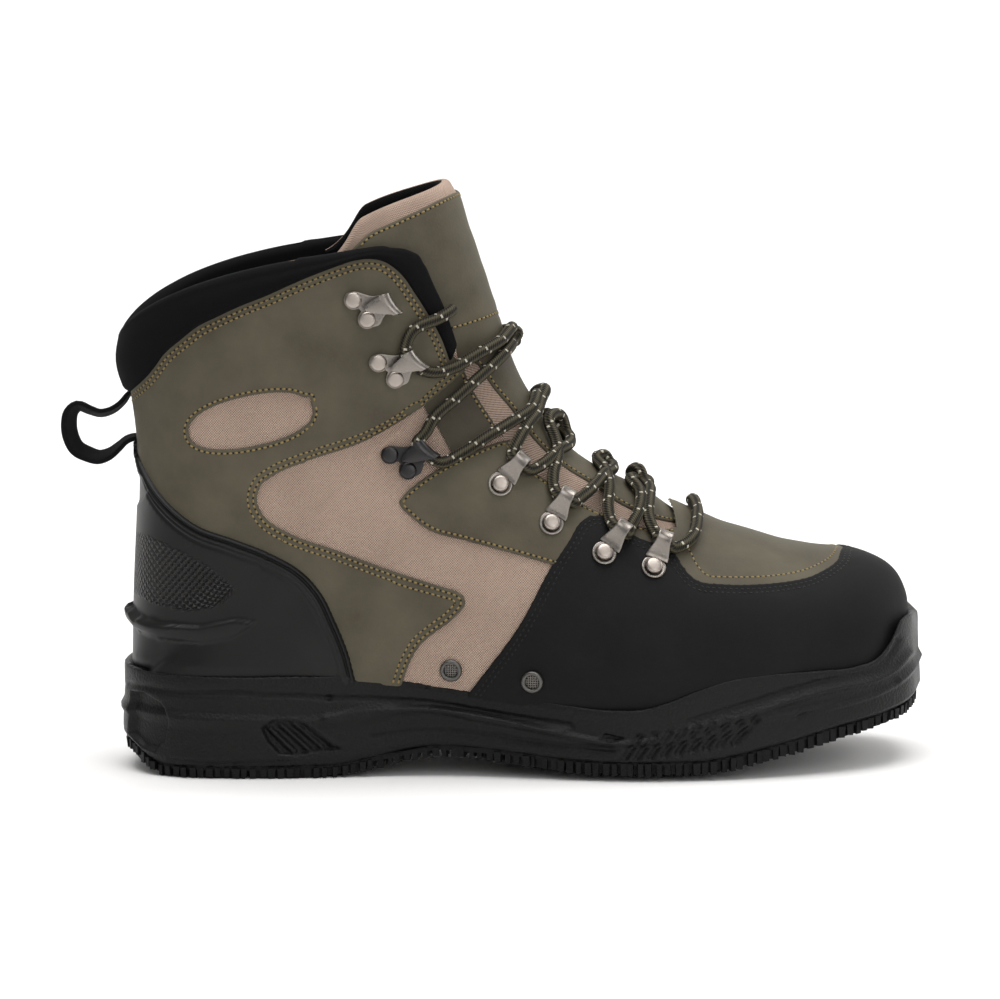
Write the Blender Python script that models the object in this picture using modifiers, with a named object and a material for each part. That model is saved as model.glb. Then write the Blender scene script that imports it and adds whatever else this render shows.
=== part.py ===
"""A right wading boot: lugged rubber sole, laced ankle-high upper, tongue, hooks, loops and laces.

Metres. +X points to the toe, +Z up, and the outer (lateral) side of the foot is -Y.
The origin is the middle of the flat that the heel stands on.
"""

from collections import namedtuple
from math import cos, pi, radians, sin

import bmesh
import bpy
import numpy as np
from mathutils import Matrix

# Driving sizes of the boot
upper_length = 0.310
collar_height = 0.210
ball_width = 0.104
sole_length = 0.322
sole_width = 0.113
sole_height = 0.041
wall = 0.0022
fit_gap = 0.0003

# Sizes of the separate pieces
tread_height = 0.0034
outsole_base = 0.0020
toe_spring = 0.0215
arch_height = 0.0075
heel_bevel = 0.0090
insole_thickness = 0.0036
tongue_thickness = 0.0034
toe_cap_thickness = 0.0016
counter_thickness = 0.0022
counter_ledge = 0.0052
cuff_thickness = 0.0026
leather_thickness = 0.0013
loop_strap_width = 0.012
loop_strap_thickness = 0.0018
lace_diameter = 0.0048
rivet_diameter = 0.0066
rivet_height = 0.0015
plate_thickness = 0.0011
vent_diameter = 0.0088
vent_hole = 0.0054
vent_thickness = 0.0011
hook_arc = 0.0034
loop_arc = 0.0033

# Grid of the upper: one ring for each section but those on the straight of the heel,
# and steps from the feather edge to the throat
skipped_rows = (20, 22)
side_steps = 8

# Each section of the upper is a ring that leans back as it climbs the heel.
# low and top are its ends in the side view, as shares of upper_length and collar_height.
# lateral and medial are half widths, as shares of ball_width; feather is the share of them
# that the ring has at its low end; widest is how far up the ring they are reached.
# edge is how far up the ring the throat opens; bow lifts the middle of the ring.
Section = namedtuple(
    "Section", "low_x low_z top_x top_z lateral medial feather widest edge bow centre"
)
sections = (
    Section(0.866, 0.190, 0.866, 0.270, 0.000, 0.000, 0.90, 0.40, 1.000, 0.0, 0.070),
    Section(0.863, 0.180, 0.862, 0.310, 0.112, 0.112, 0.90, 0.40, 1.000, 0.0, 0.068),
    Section(0.853, 0.170, 0.850, 0.346, 0.200, 0.196, 0.90, 0.38, 1.000, 0.0, 0.064),
    Section(0.832, 0.155, 0.828, 0.371, 0.288, 0.280, 0.90, 0.36, 1.000, 0.0, 0.058),
    Section(0.798, 0.140, 0.790, 0.391, 0.366, 0.358, 0.90, 0.34, 1.000, 0.0, 0.050),
    Section(0.748, 0.126, 0.738, 0.401, 0.428, 0.420, 0.90, 0.32, 1.000, 0.0, 0.038),
    Section(0.684, 0.112, 0.672, 0.427, 0.485, 0.475, 0.90, 0.30, 1.000, 0.0, 0.022),
    Section(0.613, 0.102, 0.606, 0.463, 0.505, 0.500, 0.90, 0.28, 1.000, 0.0, 0.008),
    Section(0.577, 0.099, 0.566, 0.490, 0.507, 0.500, 0.90, 0.28, 0.915, 0.0, 0.002),
    Section(0.540, 0.098, 0.526, 0.518, 0.505, 0.490, 0.90, 0.28, 0.862, 0.0, -0.004),
    Section(0.468, 0.099, 0.456, 0.571, 0.480, 0.460, 0.89, 0.29, 0.849, 0.0, -0.010),
    Section(0.394, 0.105, 0.412, 0.628, 0.445, 0.420, 0.88, 0.31, 0.842, 0.0, -0.012),
    Section(0.310, 0.116, 0.389, 0.683, 0.410, 0.385, 0.87, 0.33, 0.827, 0.0, -0.010),
    Section(0.210, 0.131, 0.370, 0.731, 0.385, 0.370, 0.87, 0.36, 0.850, 0.0, -0.006),
    Section(0.097, 0.141, 0.357, 0.776, 0.368, 0.360, 0.90, 0.40, 0.868, 0.0, 0.000),
    Section(-0.016, 0.146, 0.350, 0.812, 0.360, 0.356, 0.92, 0.44, 0.881, 0.0, 0.000),
    Section(-0.087, 0.149, 0.346, 0.833, 0.357, 0.355, 0.78, 0.46, 0.892, 0.0, 0.000),
    Section(-0.120, 0.152, 0.343, 0.847, 0.357, 0.355, 0.42, 0.47, 0.895, 0.0, 0.000),
    Section(-0.128, 0.166, 0.340, 0.858, 0.358, 0.357, 0.00, 0.48, 0.895, 0.0, 0.000),
    Section(-0.129, 0.240, 0.337, 0.876, 0.362, 0.361, 0.00, 0.49, 0.895, 0.0, 0.000),
    Section(-0.127, 0.335, 0.333, 0.893, 0.365, 0.365, 0.00, 0.50, 0.894, 0.05, 0.000),
    Section(-0.123, 0.435, 0.329, 0.912, 0.367, 0.367, 0.00, 0.50, 0.893, 0.14, 0.000),
    Section(-0.119, 0.530, 0.325, 0.932, 0.368, 0.368, 0.00, 0.50, 0.888, 0.30, 0.000),
    Section(-0.119, 0.620, 0.320, 0.953, 0.369, 0.369, 0.00, 0.50, 0.878, 0.52, 0.000),
    Section(-0.125, 0.705, 0.315, 0.977, 0.369, 0.369, 0.00, 0.50, 0.865, 0.74, 0.000),
    Section(-0.133, 0.775, 0.310, 1.000, 0.368, 0.368, 0.00, 0.50, 0.845, 0.90, 0.000),
    Section(-0.134, 0.829, 0.304, 1.025, 0.366, 0.366, 0.00, 0.50, 0.800, 1.00, 0.000),
    Section(-0.131, 0.870, 0.294, 1.078, 0.363, 0.363, 0.00, 0.50, 0.800, 1.00, 0.000),
    Section(-0.128, 0.905, 0.285, 1.105, 0.360, 0.360, 0.00, 0.50, 0.800, 1.00, 0.000),
)
collar_row = 26
heel_seam_row = 18
tongue_row = 7
tongue_wing_step = 6
tongue_most_edge = 0.955
tongue_tuck = 0.0026
insole_inset = 0.0044
bow_height = 0.0131
bow_shape = 0.55
# How square the upper and the lower half of a ring are, at toe, ball, instep, heel and shaft
Roundness = namedtuple("Roundness", "row high low")
roundness = (
    Roundness(0, 2.3, 2.1),
    Roundness(5, 2.1, 2.1),
    Roundness(8, 1.85, 2.1),
    Roundness(12, 1.90, 2.1),
    Roundness(16, 2.2, 2.15),
    Roundness(18, 2.3, 2.6),
    Roundness(28, 2.4, 2.5),
)

# The sole seen from below: x as a share of sole_length, y as shares of sole_width
SoleRow = namedtuple("SoleRow", "x lateral medial")
sole_rows = (
    SoleRow(-0.1435, 0.000, 0.000),
    SoleRow(-0.1380, 0.125, 0.125),
    SoleRow(-0.1190, 0.222, 0.222),
    SoleRow(-0.0870, 0.296, 0.296),
    SoleRow(-0.0450, 0.342, 0.338),
    SoleRow(0.0150, 0.364, 0.356),
    SoleRow(0.0900, 0.364, 0.350),
    SoleRow(0.1700, 0.350, 0.332),
    SoleRow(0.2500, 0.356, 0.322),
    SoleRow(0.3300, 0.396, 0.354),
    SoleRow(0.4050, 0.450, 0.412),
    SoleRow(0.4800, 0.492, 0.468),
    SoleRow(0.5450, 0.498, 0.496),
    SoleRow(0.6100, 0.478, 0.504),
    SoleRow(0.6700, 0.444, 0.494),
    SoleRow(0.7250, 0.396, 0.468),
    SoleRow(0.7750, 0.324, 0.420),
    SoleRow(0.8150, 0.232, 0.346),
    SoleRow(0.8400, 0.122, 0.250),
    SoleRow(0.8535, -0.062, 0.062),
)

# The side of the sole: heights as shares of sole_height, at shares of sole_length
SideRow = namedtuple("SideRow", "x rim ridge")
side_rows = (
    SideRow(-0.150, 1.020, 0.60),
    SideRow(-0.090, 0.990, 0.60),
    SideRow(0.000, 0.975, 0.58),
    SideRow(0.100, 0.975, 0.56),
    SideRow(0.165, 0.960, 0.60),
    SideRow(0.210, 0.920, 0.66),
    SideRow(0.260, 0.855, 0.66),
    SideRow(0.330, 0.780, 0.58),
    SideRow(0.400, 0.715, 0.46),
    SideRow(0.465, 0.670, 0.38),
    SideRow(0.500, 0.680, 0.38),
    SideRow(0.535, 0.755, 0.40),
    SideRow(0.570, 0.860, 0.44),
    SideRow(0.610, 0.950, 0.50),
    SideRow(0.650, 0.985, 0.57),
    SideRow(0.720, 1.000, 0.66),
    SideRow(0.770, 1.010, 0.72),
    SideRow(0.795, 1.060, 0.76),
    SideRow(0.812, 1.190, 0.80),
    SideRow(0.825, 1.350, 0.84),
    SideRow(0.838, 1.450, 0.90),
    SideRow(0.860, 1.520, 0.98),
)

# The underside: x as a share of sole_length, rise as a share of the named height beside it
heel_flat = (-0.090, 0.110)
arch_middle = 0.250
tread_rows = 19
ball_flat = (0.455, 0.575)
edge_rise = 0.0030


def along(rows, column, keys, at):
    """A column of a table at values of its key column, as a smooth curve through the rows."""
    key = np.array([getattr(row, keys) for row in rows], float)
    value = np.array([getattr(row, column) for row in rows], float)
    return smooth_through(key, value, at)


def smooth_through(key, value, at):
    """Cubic curve through the points, whose slope at each is that of its two neighbours."""
    at = np.clip(np.asarray(at, float), key[0], key[-1])
    slope = np.gradient(value, key)
    k = np.clip(np.searchsorted(key, at, "right") - 1, 0, len(key) - 2)
    width = key[k + 1] - key[k]
    u = (at - key[k]) / width
    start = (1 + 2 * u) * (1 - u) ** 2 * value[k]
    start_slope = u * (1 - u) ** 2 * width * slope[k]
    end = u**2 * (3 - 2 * u) * value[k + 1]
    end_slope = u**2 * (u - 1) * width * slope[k + 1]
    return start + start_slope + end + end_slope


def section_value(column, row):
    value = np.array([getattr(section, column) for section in sections], float)
    return smooth_through(np.arange(len(sections), dtype=float), value, row)


def squareness(row):
    return along(roundness, "high", "row", row)


def edge_step(row, height):
    """The step around a ring, 0 at its low end and 1 at its top, that is this far up it."""
    widest = section_value("widest", row)
    above = np.clip((height - widest) / (1 - widest), 0, 1)
    angle = np.arcsin(above ** (squareness(row) / 2))
    return widest_step(row) + (1 - widest_step(row)) * angle / (pi / 2)


def widest_step(row):
    return 0.30 + 0.15 * np.clip((np.asarray(row, float) - 12) / 6, 0, 1)


def upper_point(row, step, side):
    """A point of the last's surface: row from toe to collar, step from low end to top.

    Below the widest place the ring is a quarter of a rounded ellipse from the feather edge,
    and above it a quarter of a squarer one up to the ridge. side is -1 lateral, +1 medial.
    """
    row, step, side = np.broadcast_arrays(
        np.asarray(row, float), np.asarray(step, float), np.asarray(side, float)
    )
    widest = section_value("widest", row)
    turn = widest_step(row)
    half = np.where(
        side < 0, section_value("lateral", row), section_value("medial", row)
    )
    half = ball_width * np.maximum(half, 0)
    feather = np.clip(section_value("feather", row), 0, 1)
    square = squareness(row)
    low_square = along(roundness, "low", "row", row)
    low_angle = (1 - np.clip(step / turn, 0, 1)) * pi / 2
    low_height = widest * (1 - np.sin(low_angle) ** (2 / low_square))
    low_width = feather + (1 - feather) * np.cos(low_angle) ** (2 / low_square)
    top_angle = np.clip((step - turn) / (1 - turn), 0, 1) * pi / 2
    top_height = widest + (1 - widest) * np.sin(top_angle) ** (2 / square)
    top_width = np.maximum(np.cos(top_angle), 0) ** (2 / square)
    low = step < turn
    height = np.where(low, low_height, top_height)
    width = half * np.where(low, low_width, np.where(step >= 1, 0, top_width))
    low_x = upper_length * section_value("low_x", row)
    low_z = collar_height * section_value("low_z", row)
    top_x = upper_length * section_value("top_x", row)
    top_z = collar_height * section_value("top_z", row)
    bow = bow_height * section_value("bow", row)
    x = low_x + (top_x - low_x) * height
    z = low_z + (top_z - low_z) * height + bow * np.sin(pi * height**bow_shape)
    y = side * width + ball_width * section_value("centre", row)
    return np.stack([x, y, z], -1)


def upper_normal(row, step, side):
    """The direction out of the last at these places, from four points close around each."""
    near = 0.02
    row, step, side = np.broadcast_arrays(
        np.asarray(row, float), np.asarray(step, float), np.asarray(side, float)
    )
    last_row = len(sections) - 1
    forward = upper_point(np.minimum(row + near, last_row), step, side)
    backward = upper_point(np.maximum(row - near, 0), step, side)
    up = upper_point(row, np.minimum(step + near, 1), side)
    down = upper_point(row, np.maximum(step - near, 0), side)
    out = np.cross(forward - backward, up - down) * side[..., None]
    low_end = (step <= 0) & (row >= heel_seam_row)
    top_end = step >= 1
    out[..., 1] = np.where(low_end | top_end, 0, out[..., 1])
    size = np.linalg.norm(out, axis=-1, keepdims=True)
    out = np.where(size > 1e-12, out / np.maximum(size, 1e-12), [1, 0, 0])
    return np.where(row[..., None] <= 0, [1.0, 0.0, 0.0], out)


def new_material(name, colour, roughness_value, metallic):
    material = bpy.data.materials.new(name)
    material.use_nodes = True
    shader = material.node_tree.nodes["Principled BSDF"]
    shader.inputs["Base Color"].default_value = (*colour, 1)
    shader.inputs["Roughness"].default_value = roughness_value
    shader.inputs["Metallic"].default_value = metallic
    return material


def add_object(name, mesh, material, collection):
    obj = bpy.data.objects.new(name, mesh)
    collection.objects.link(obj)
    if material:
        mesh.materials.append(material)
    mesh.polygons.foreach_set("use_smooth", [True] * len(mesh.polygons))
    mesh.set_sharp_from_angle(angle=radians(35))
    return obj


def mesh_from_grid(name, points, faces, weld=4e-4):
    """A mesh from points and faces, with the points that coincide made one."""
    work = bmesh.new()
    corners = [work.verts.new(point) for point in points]
    for face in faces:
        work.faces.new([corners[k] for k in face])
    bmesh.ops.remove_doubles(work, verts=work.verts, dist=weld)
    bmesh.ops.dissolve_degenerate(work, edges=work.edges, dist=weld)
    mesh = bpy.data.meshes.new(name)
    work.to_mesh(mesh)
    work.free()
    return mesh


def face_outward(work):
    bmesh.ops.recalc_face_normals(work, faces=work.faces)
    if work.calc_volume(signed=True) < 0:
        bmesh.ops.reverse_faces(work, faces=work.faces)


def grid_faces(rows, columns, turn=False, split=False):
    """A grid's cells. Split ones are two triangles on one diagonal, so that offset grids fold alike."""
    faces = []
    for i in range(rows - 1):
        for j in range(columns - 1):
            a, b = i * columns + j, i * columns + j + 1
            c, d = (i + 1) * columns + j + 1, (i + 1) * columns + j
            quad = (a, d, c, b) if turn else (a, b, c, d)
            faces += [quad[:3], (quad[0], *quad[2:])] if split else [quad]
    return faces


def ring_rows(first_row, last_row):
    """The sections between two rows that get a ring of their own."""
    return np.array([row for row in range(first_row, last_row + 1) if row not in skipped_rows], float)


def half_surface(rows, side, outward, last_step):
    """Points and faces of one side of the upper, moved outward from the last's surface."""
    steps = np.arange(last_step + 1) / side_steps
    step = edge_step(rows, section_value("edge", rows))[:, None] * steps[None, :]
    row = np.broadcast_to(rows[:, None], step.shape)
    points = upper_point(row, step, side) + outward * upper_normal(row, step, side)
    faces = grid_faces(*step.shape, turn=side > 0, split=True)
    return points.reshape(-1, 3), faces


def upper_surface(name, first_row, last_row, outward, sides=(-1, 1), last_step=side_steps):
    """The upper's surface between two rows, its sides joined where they meet."""
    rows = ring_rows(first_row, last_row)
    points, faces = [], []
    for side in sides:
        more_points, more_faces = half_surface(rows, side, outward, last_step)
        start = sum(len(group) for group in points)
        faces += [tuple(start + k for k in face) for face in more_faces]
        points.append(more_points)
    return mesh_from_grid(name, np.concatenate(points), faces)


def thicken(obj, thickness, outward):
    shell = obj.modifiers.new("wall", "SOLIDIFY")
    shell.thickness = thickness
    shell.offset = 1 if outward else -1
    shell.use_even_offset = True
    shell.use_quality_normals = True


def cut(obj, cutter, operation):
    step = obj.modifiers.new(operation.lower(), "BOOLEAN")
    step.operation = operation
    step.solver = "EXACT"
    step.object = cutter


def tongue_surface(name):
    """The tongue's outer face: under the quarters it lies inside their wall, in the throat it
    swells out to the last's own surface, and above the collar its middle runs on to the top."""
    rows = ring_rows(tongue_row, len(sections) - 1)
    under = np.arange(tongue_wing_step, side_steps + 1) / side_steps
    points, faces = [], []
    for side in (-1, 1):
        edge = edge_step(rows, np.minimum(section_value("edge", rows), tongue_most_edge))
        inner = edge[:, None] * under[None, :]
        open_part = edge[:, None] + (1 - edge[:, None]) * np.linspace(0, 1, 4)[None, 1:]
        step = np.concatenate([inner, open_part], 1)
        middle = (step - step[:, :1]) / (1 - step[:, :1])
        climb = np.maximum(rows - collar_row, 0)[:, None] * (0.15 + 0.85 * middle)
        row = np.minimum(rows, collar_row)[:, None] + climb
        swell = blend((step - edge[:, None]) / (0.55 * (1 - edge[:, None])))
        swell = swell * np.clip(rows - tongue_row - 1, 0, 1)[:, None]
        tuck = tongue_tuck * np.clip(tongue_row + 1 - rows, 0, 1)[:, None]
        inset = (wall + fit_gap) * (1 - swell) + fit_gap + tuck
        face_points = upper_point(row, step, side) - inset[..., None] * upper_normal(row, step, side)
        start = sum(len(group) for group in points)
        more = grid_faces(*step.shape, turn=side > 0, split=True)
        faces += [tuple(start + k for k in face) for face in more]
        points.append(face_points.reshape(-1, 3))
    return mesh_from_grid(name, np.concatenate(points), faces)


def insole_plate(name, collection, material):
    """The footbed between the feather edges, as a plate a little inside them."""
    rows = np.arange(0, heel_seam_row + 1, dtype=float)
    back = blend((rows - (heel_seam_row - 3)) / 3)
    front = 1.8 * blend((5 - rows) / 5)
    x = upper_length * section_value("low_x", rows) + insole_inset * (back - front)
    z = collar_height * section_value("low_z", rows) + fit_gap
    centre = ball_width * section_value("centre", rows)
    feather = ball_width * np.clip(section_value("feather", rows), 0, 1)
    lateral = centre - np.maximum(feather * section_value("lateral", rows) - insole_inset / 2, 0)
    medial = centre + np.maximum(feather * section_value("medial", rows) - insole_inset / 2, 0)
    lines = []
    for height in (0, insole_thickness):
        for share in np.linspace(0, 1, 3):
            y = lateral * (1 - share) + medial * share
            lines.append(np.stack([x, y, z + height], -1))
    count = len(rows)
    faces = grid_faces(3, count)
    faces += [tuple(3 * count + k for k in face) for face in grid_faces(3, count, turn=True)]
    for line in (0, 2):
        for k in range(count - 1):
            a, b = line * count + k, line * count + k + 1
            faces.append((a, b, 3 * count + b, 3 * count + a))
    work = bmesh.new()
    work.from_mesh(mesh_from_grid(name, np.concatenate(lines), faces))
    face_outward(work)
    mesh = bpy.data.meshes.new(name)
    work.to_mesh(mesh)
    work.free()
    return add_object(name, mesh, material, collection)


def hide_helper(obj):
    obj.hide_render = True
    obj.display_type = "WIRE"


def filled_last(name, outward, collection):
    """The whole last as one closed body, for cutting: its bottom runs flat between the feathers."""
    rows = ring_rows(0, collar_row)
    steps = side_steps + 1
    points, faces = [], []
    for side in (-1, 1):
        edge = edge_step(rows, section_value("edge", rows))
        step = edge[:, None] * np.linspace(0, 1, steps)[None, :]
        row = np.broadcast_to(rows[:, None], step.shape)
        half = upper_point(row, step, side) + outward * upper_normal(row, step, side)
        low_z = collar_height * section_value("low_z", rows)
        half[:, 0, 2] = np.where(rows < heel_seam_row, low_z - outward, half[:, 0, 2])
        start = len(points) * half.shape[0] * half.shape[1]
        points.append(half.reshape(-1, 3))
        faces += [
            tuple(start + k for k in face)
            for face in grid_faces(len(rows), steps, turn=side > 0, split=True)
        ]
    size = len(rows) * steps
    for i in range(len(rows) - 1):
        for j, turned in ((0, False), (steps - 1, True)):
            a, b = i * steps + j, (i + 1) * steps + j
            face = (a, size + a, size + b, b)
            faces.append(face[::-1] if turned else face)
    last = len(rows) - 1
    top = [last * steps + j for j in range(steps)]
    for j in range(steps - 1):
        a, b = top[j], top[j + 1]
        faces.append((a, b, size + b, size + a))
    mesh = mesh_from_grid(name, np.concatenate(points), faces)
    work = bmesh.new()
    work.from_mesh(mesh)
    face_outward(work)
    work.to_mesh(mesh)
    work.free()
    obj = add_object(name, mesh, None, collection)
    hide_helper(obj)
    return obj


# The sole

def sole_side(amount, side):
    """x and y of the sole's outline: amount from 0 at the heel to 1 at the toe."""
    key = np.linspace(0, 1, len(sole_rows))
    x = sole_length * smooth_through(key, np.array([row.x for row in sole_rows]), amount)
    column = "lateral" if side < 0 else "medial"
    y = np.array([getattr(row, column) for row in sole_rows])
    return x, side * sole_width * smooth_through(key, y, amount)


def rim_height(x):
    return sole_height * along(side_rows, "rim", "x", x / sole_length)


def ridge_height(x):
    return sole_height * along(side_rows, "ridge", "x", x / sole_length)


def blend(value):
    value = np.clip(value, 0, 1)
    return value * value * (3 - 2 * value)


def bottom_height(x):
    """Height of the tread above the floor: flat under heel and ball, raised arch, toe and heel end."""
    share = np.asarray(x, float) / sole_length
    back = heel_bevel * blend((heel_flat[0] - share) / 0.060)
    rise = blend((share - heel_flat[1]) / (arch_middle - heel_flat[1]))
    fall = blend((ball_flat[0] - share) / (ball_flat[0] - arch_middle - 0.02))
    arch = arch_height * np.minimum(rise, fall)
    spring = np.clip((share - ball_flat[1]) / (0.8535 - ball_flat[1]), 0, 1)
    return back + arch + toe_spring * spring**1.25


def edge_lift(across, x):
    """How far the tread rises at its long edges at the ball, so that it rolls off the floor."""
    share = np.asarray(x, float) / sole_length
    ball = blend((share - 0.30) / 0.15) * blend((0.84 - share) / 0.12)
    return edge_rise * ball * np.abs(across) ** 5


def tread_stations():
    """Amounts along the outline at which the tread and the midsole's underside have their folds."""
    return np.linspace(0, 1, tread_rows + 1)


def base_height(x):
    """The floor height of the tread, straight between its stations, so that both pieces fold alike."""
    station_x, _ = sole_side(tread_stations(), -1)
    return np.interp(x, station_x, bottom_height(station_x))


def outline_with_normals(amounts, side):
    x, y = sole_side(amounts, side)
    dx = np.gradient(x, amounts)
    dy = np.gradient(y, amounts)
    size = np.hypot(dx, dy)
    normal_x = np.where(amounts <= 0, -1, np.where(amounts >= 1, 1, -side * dy / size * 1))
    normal_y = np.where((amounts <= 0) | (amounts >= 1), 0, side * dx / size)
    return x, y, normal_x, normal_y


# One row for each level of the midsole's side: where it lies between the tread and the ridge
# (0 to 1) or between the ridge and the rim (1 to 2), and how far out it stands.
SideStep = namedtuple("SideStep", "level out rib")
midsole_steps = (
    SideStep(0.00, -0.0024, 0.0),
    SideStep(0.20, 0.0000, 1.0),
    SideStep(0.80, -0.0004, 1.0),
    SideStep(1.00, 0.0014, 0.0),
    SideStep(1.18, -0.0010, 0.0),
    SideStep(2.00, -0.0010, 0.0),
)
rib_pitch = 0.0086
rib_depth = 0.0013
rib_lean = 0.0045
rib_zones = ((0.075, 0.235), (0.475, 0.650))


def sole_columns():
    """Amounts along the outline: an even spread, with closer ones where the side has ribs."""
    even = list(tread_stations())
    fine = np.linspace(0, 1, 2001)
    x, _ = sole_side(fine, -1)
    for start, end in rib_zones:
        places = np.arange(start * sole_length, end * sole_length, rib_pitch / 2)
        ribs = np.interp(places, x, fine)
        even += [rib for rib in ribs if min(abs(rib - value) for value in even) > 0.002]
    return np.array(sorted(even))


def rib_wave(x):
    """+1 and -1 in turn at half pitches inside the ribbed zones, 0 elsewhere."""
    wave = np.zeros_like(x)
    for start, end in rib_zones:
        place = (x - start * sole_length) / (rib_pitch / 2)
        inside = (place > 0.5) & (x < end * sole_length - rib_pitch)
        wave = np.where(inside, np.where(np.round(place) % 2 == 0, 1.0, -1.0), wave)
    return wave


def sole_ring(amounts, side, level, out, rib):
    x, y, nx, ny = outline_with_normals(amounts, side)
    base = base_height(x) + edge_lift(1.0, x) + tread_height + outsole_base + fit_gap
    ridge = np.maximum(ridge_height(x), base + 0.006)
    rim = rim_height(x)
    z = np.where(level <= 1, base + (ridge - base) * level, ridge + (rim - ridge) * (level - 1))
    wave = rib_wave(x) * rib
    out = out + rib_depth * 0.5 * (wave - np.abs(wave))
    lean = rib_lean * (0.5 - level) * np.abs(wave)
    return np.stack([x + nx * out + lean, y + ny * out, z], -1)


def midsole_block(name, collection, material):
    amounts = sole_columns()
    count = len(amounts)
    lateral = [
        sole_ring(amounts, -1, step.level, step.out, step.rib) for step in midsole_steps
    ]
    medial = [
        sole_ring(amounts, 1, step.level, step.out, step.rib) for step in midsole_steps
    ]
    for line in lateral + medial:
        line[[0, -1], 1] = 0.5 * (lateral[0][[0, -1], 1] + medial[0][[0, -1], 1])
    points = np.concatenate(lateral + medial)
    levels = len(midsole_steps)
    faces = grid_faces(levels, count, turn=False)
    shift = levels * count
    faces += [tuple(shift + k for k in face) for face in grid_faces(levels, count, turn=True)]
    for level, turned in ((0, True), (levels - 1, False)):
        start = level * count
        for k in range(count - 1):
            face = (start + k, start + k + 1, shift + start + k + 1, shift + start + k)
            faces.append(face[::-1] if turned else face)
    mesh = mesh_from_grid(name, points, faces)
    return add_object(name, mesh, material, collection)


def outsole_tread(name, collection, material):
    """A thin base under the midsole with its lugs pressed down from the cells of a grid."""
    amounts = tread_stations()
    across = np.linspace(-1, 1, 6)
    inset = 0.0018
    lx, ly, lnx, lny = outline_with_normals(amounts, -1)
    mx, my, mnx, mny = outline_with_normals(amounts, 1)
    station = np.broadcast_to(lx[:, None], (len(lx), len(across)))
    lx, ly = lx - lnx * inset, ly - lny * inset
    mx, my = mx - mnx * inset, my - mny * inset
    share = (across[None, :] + 1) / 2
    x = lx[:, None] * (1 - share) + mx[:, None] * share
    y = ly[:, None] * (1 - share) + my[:, None] * share
    floor = base_height(station) + edge_lift(across[None, :], station)
    rows, columns = x.shape
    under = np.stack([x, y, floor + tread_height], -1).reshape(-1, 3)
    over = np.stack([x, y, floor + tread_height + outsole_base], -1).reshape(-1, 3)
    faces = grid_faces(rows, columns, turn=True)
    lug_count = len(faces)
    size = rows * columns
    faces += [tuple(size + k for k in face) for face in grid_faces(rows, columns)]
    for j, turned in ((0, True), (columns - 1, False)):
        for i in range(rows - 1):
            a, b = i * columns + j, (i + 1) * columns + j
            face = (a, b, size + b, size + a)
            faces.append(face[::-1] if turned else face)
    work = bmesh.new()
    corners = [work.verts.new(point) for point in np.concatenate([under, over])]
    made = [work.faces.new([corners[k] for k in face]) for face in faces]
    cells = []
    for face in made[:lug_count]:
        middle = face.calc_center_median().x / sole_length
        if face.calc_area() > 0.00005 and not 0.17 < middle < 0.33:
            cells.append(face)
    bmesh.ops.remove_doubles(work, verts=work.verts, dist=2e-5)
    cells = [face for face in cells if face.is_valid]
    bmesh.ops.inset_individual(work, faces=cells, thickness=0.0013, depth=0)
    lugs = bmesh.ops.extrude_discrete_faces(work, faces=cells)["faces"]
    for face in lugs:
        for vert in face.verts:
            vert.co.z -= tread_height
    face_outward(work)
    mesh = bpy.data.meshes.new(name)
    work.to_mesh(mesh)
    work.free()
    return add_object(name, mesh, material, collection)


# Overlays

# Outlines in the side view: x as a share of upper_length, z as a share of collar_height
far_back, far_front, far_up = -0.16, 0.90, 1.30
counter_line = (
    (-0.119, 0.626), (-0.107, 0.580), (-0.082, 0.529), (-0.041, 0.481), (0.004, 0.458),
    (0.055, 0.427), (0.100, 0.379), (0.132, 0.298), (0.149, 0.237),
)
ledge_line = (
    (-0.150, 0.302), (-0.110, 0.290), (-0.050, 0.287), (0.003, 0.305), (0.027, 0.295),
    (-0.015, 0.266), (-0.067, 0.252), (-0.150, 0.262),
)
cuff_line = (
    (-0.125, 0.718), (-0.101, 0.758), (-0.079, 0.803), (-0.040, 0.850), (0.018, 0.895),
    (0.091, 0.940), (0.162, 0.977), (0.190, 0.978), (0.212, 0.959), (0.235, 0.915),
    (0.257, 0.859), (0.278, 0.778),
)
window_line = (
    (0.294, 0.752), (0.242, 0.697), (0.171, 0.637), (0.096, 0.600), (0.050, 0.572),
    (0.034, 0.529), (0.058, 0.482), (0.133, 0.432), (0.205, 0.394), (0.273, 0.361),
    (0.296, 0.336), (0.279, 0.301), (0.239, 0.252), (0.220, 0.205),
)
toe_rear_line = (
    (0.318, 0.197), (0.363, 0.287), (0.409, 0.406), (0.435, 0.463), (0.456, 0.489),
)
toe_top_line = (
    (0.471, 0.487), (0.515, 0.447), (0.561, 0.425), (0.573, 0.395), (0.592, 0.369),
    (0.625, 0.360), (0.700, 0.357), (0.760, 0.371), (0.784, 0.393),
)
wing_line = (
    (0.214, 0.522), (0.222, 0.506), (0.252, 0.471), (0.300, 0.448), (0.404, 0.410),
    (0.430, 0.467), (0.451, 0.497), (0.470, 0.530), (0.420, 0.620), (0.360, 0.660),
    (0.331, 0.630), (0.282, 0.601), (0.245, 0.563), (0.222, 0.545),
)
eyestay_line = (
    (0.250, 0.690), (0.258, 0.672), (0.270, 0.643), (0.284, 0.617), (0.337, 0.657),
    (0.360, 0.680), (0.330, 0.770), (0.302, 0.750),
)
oval_centre = (0.028, 0.678)
oval_radii = (0.0254, 0.0109)
oval_tilt = radians(12.4)
border_gap = 0.006
rim_gap = 0.0008
rim_slack = 0.0030
half_reach = 0.08


def in_metres(line):
    return [(x * upper_length, z * collar_height) for x, z in line]


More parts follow.
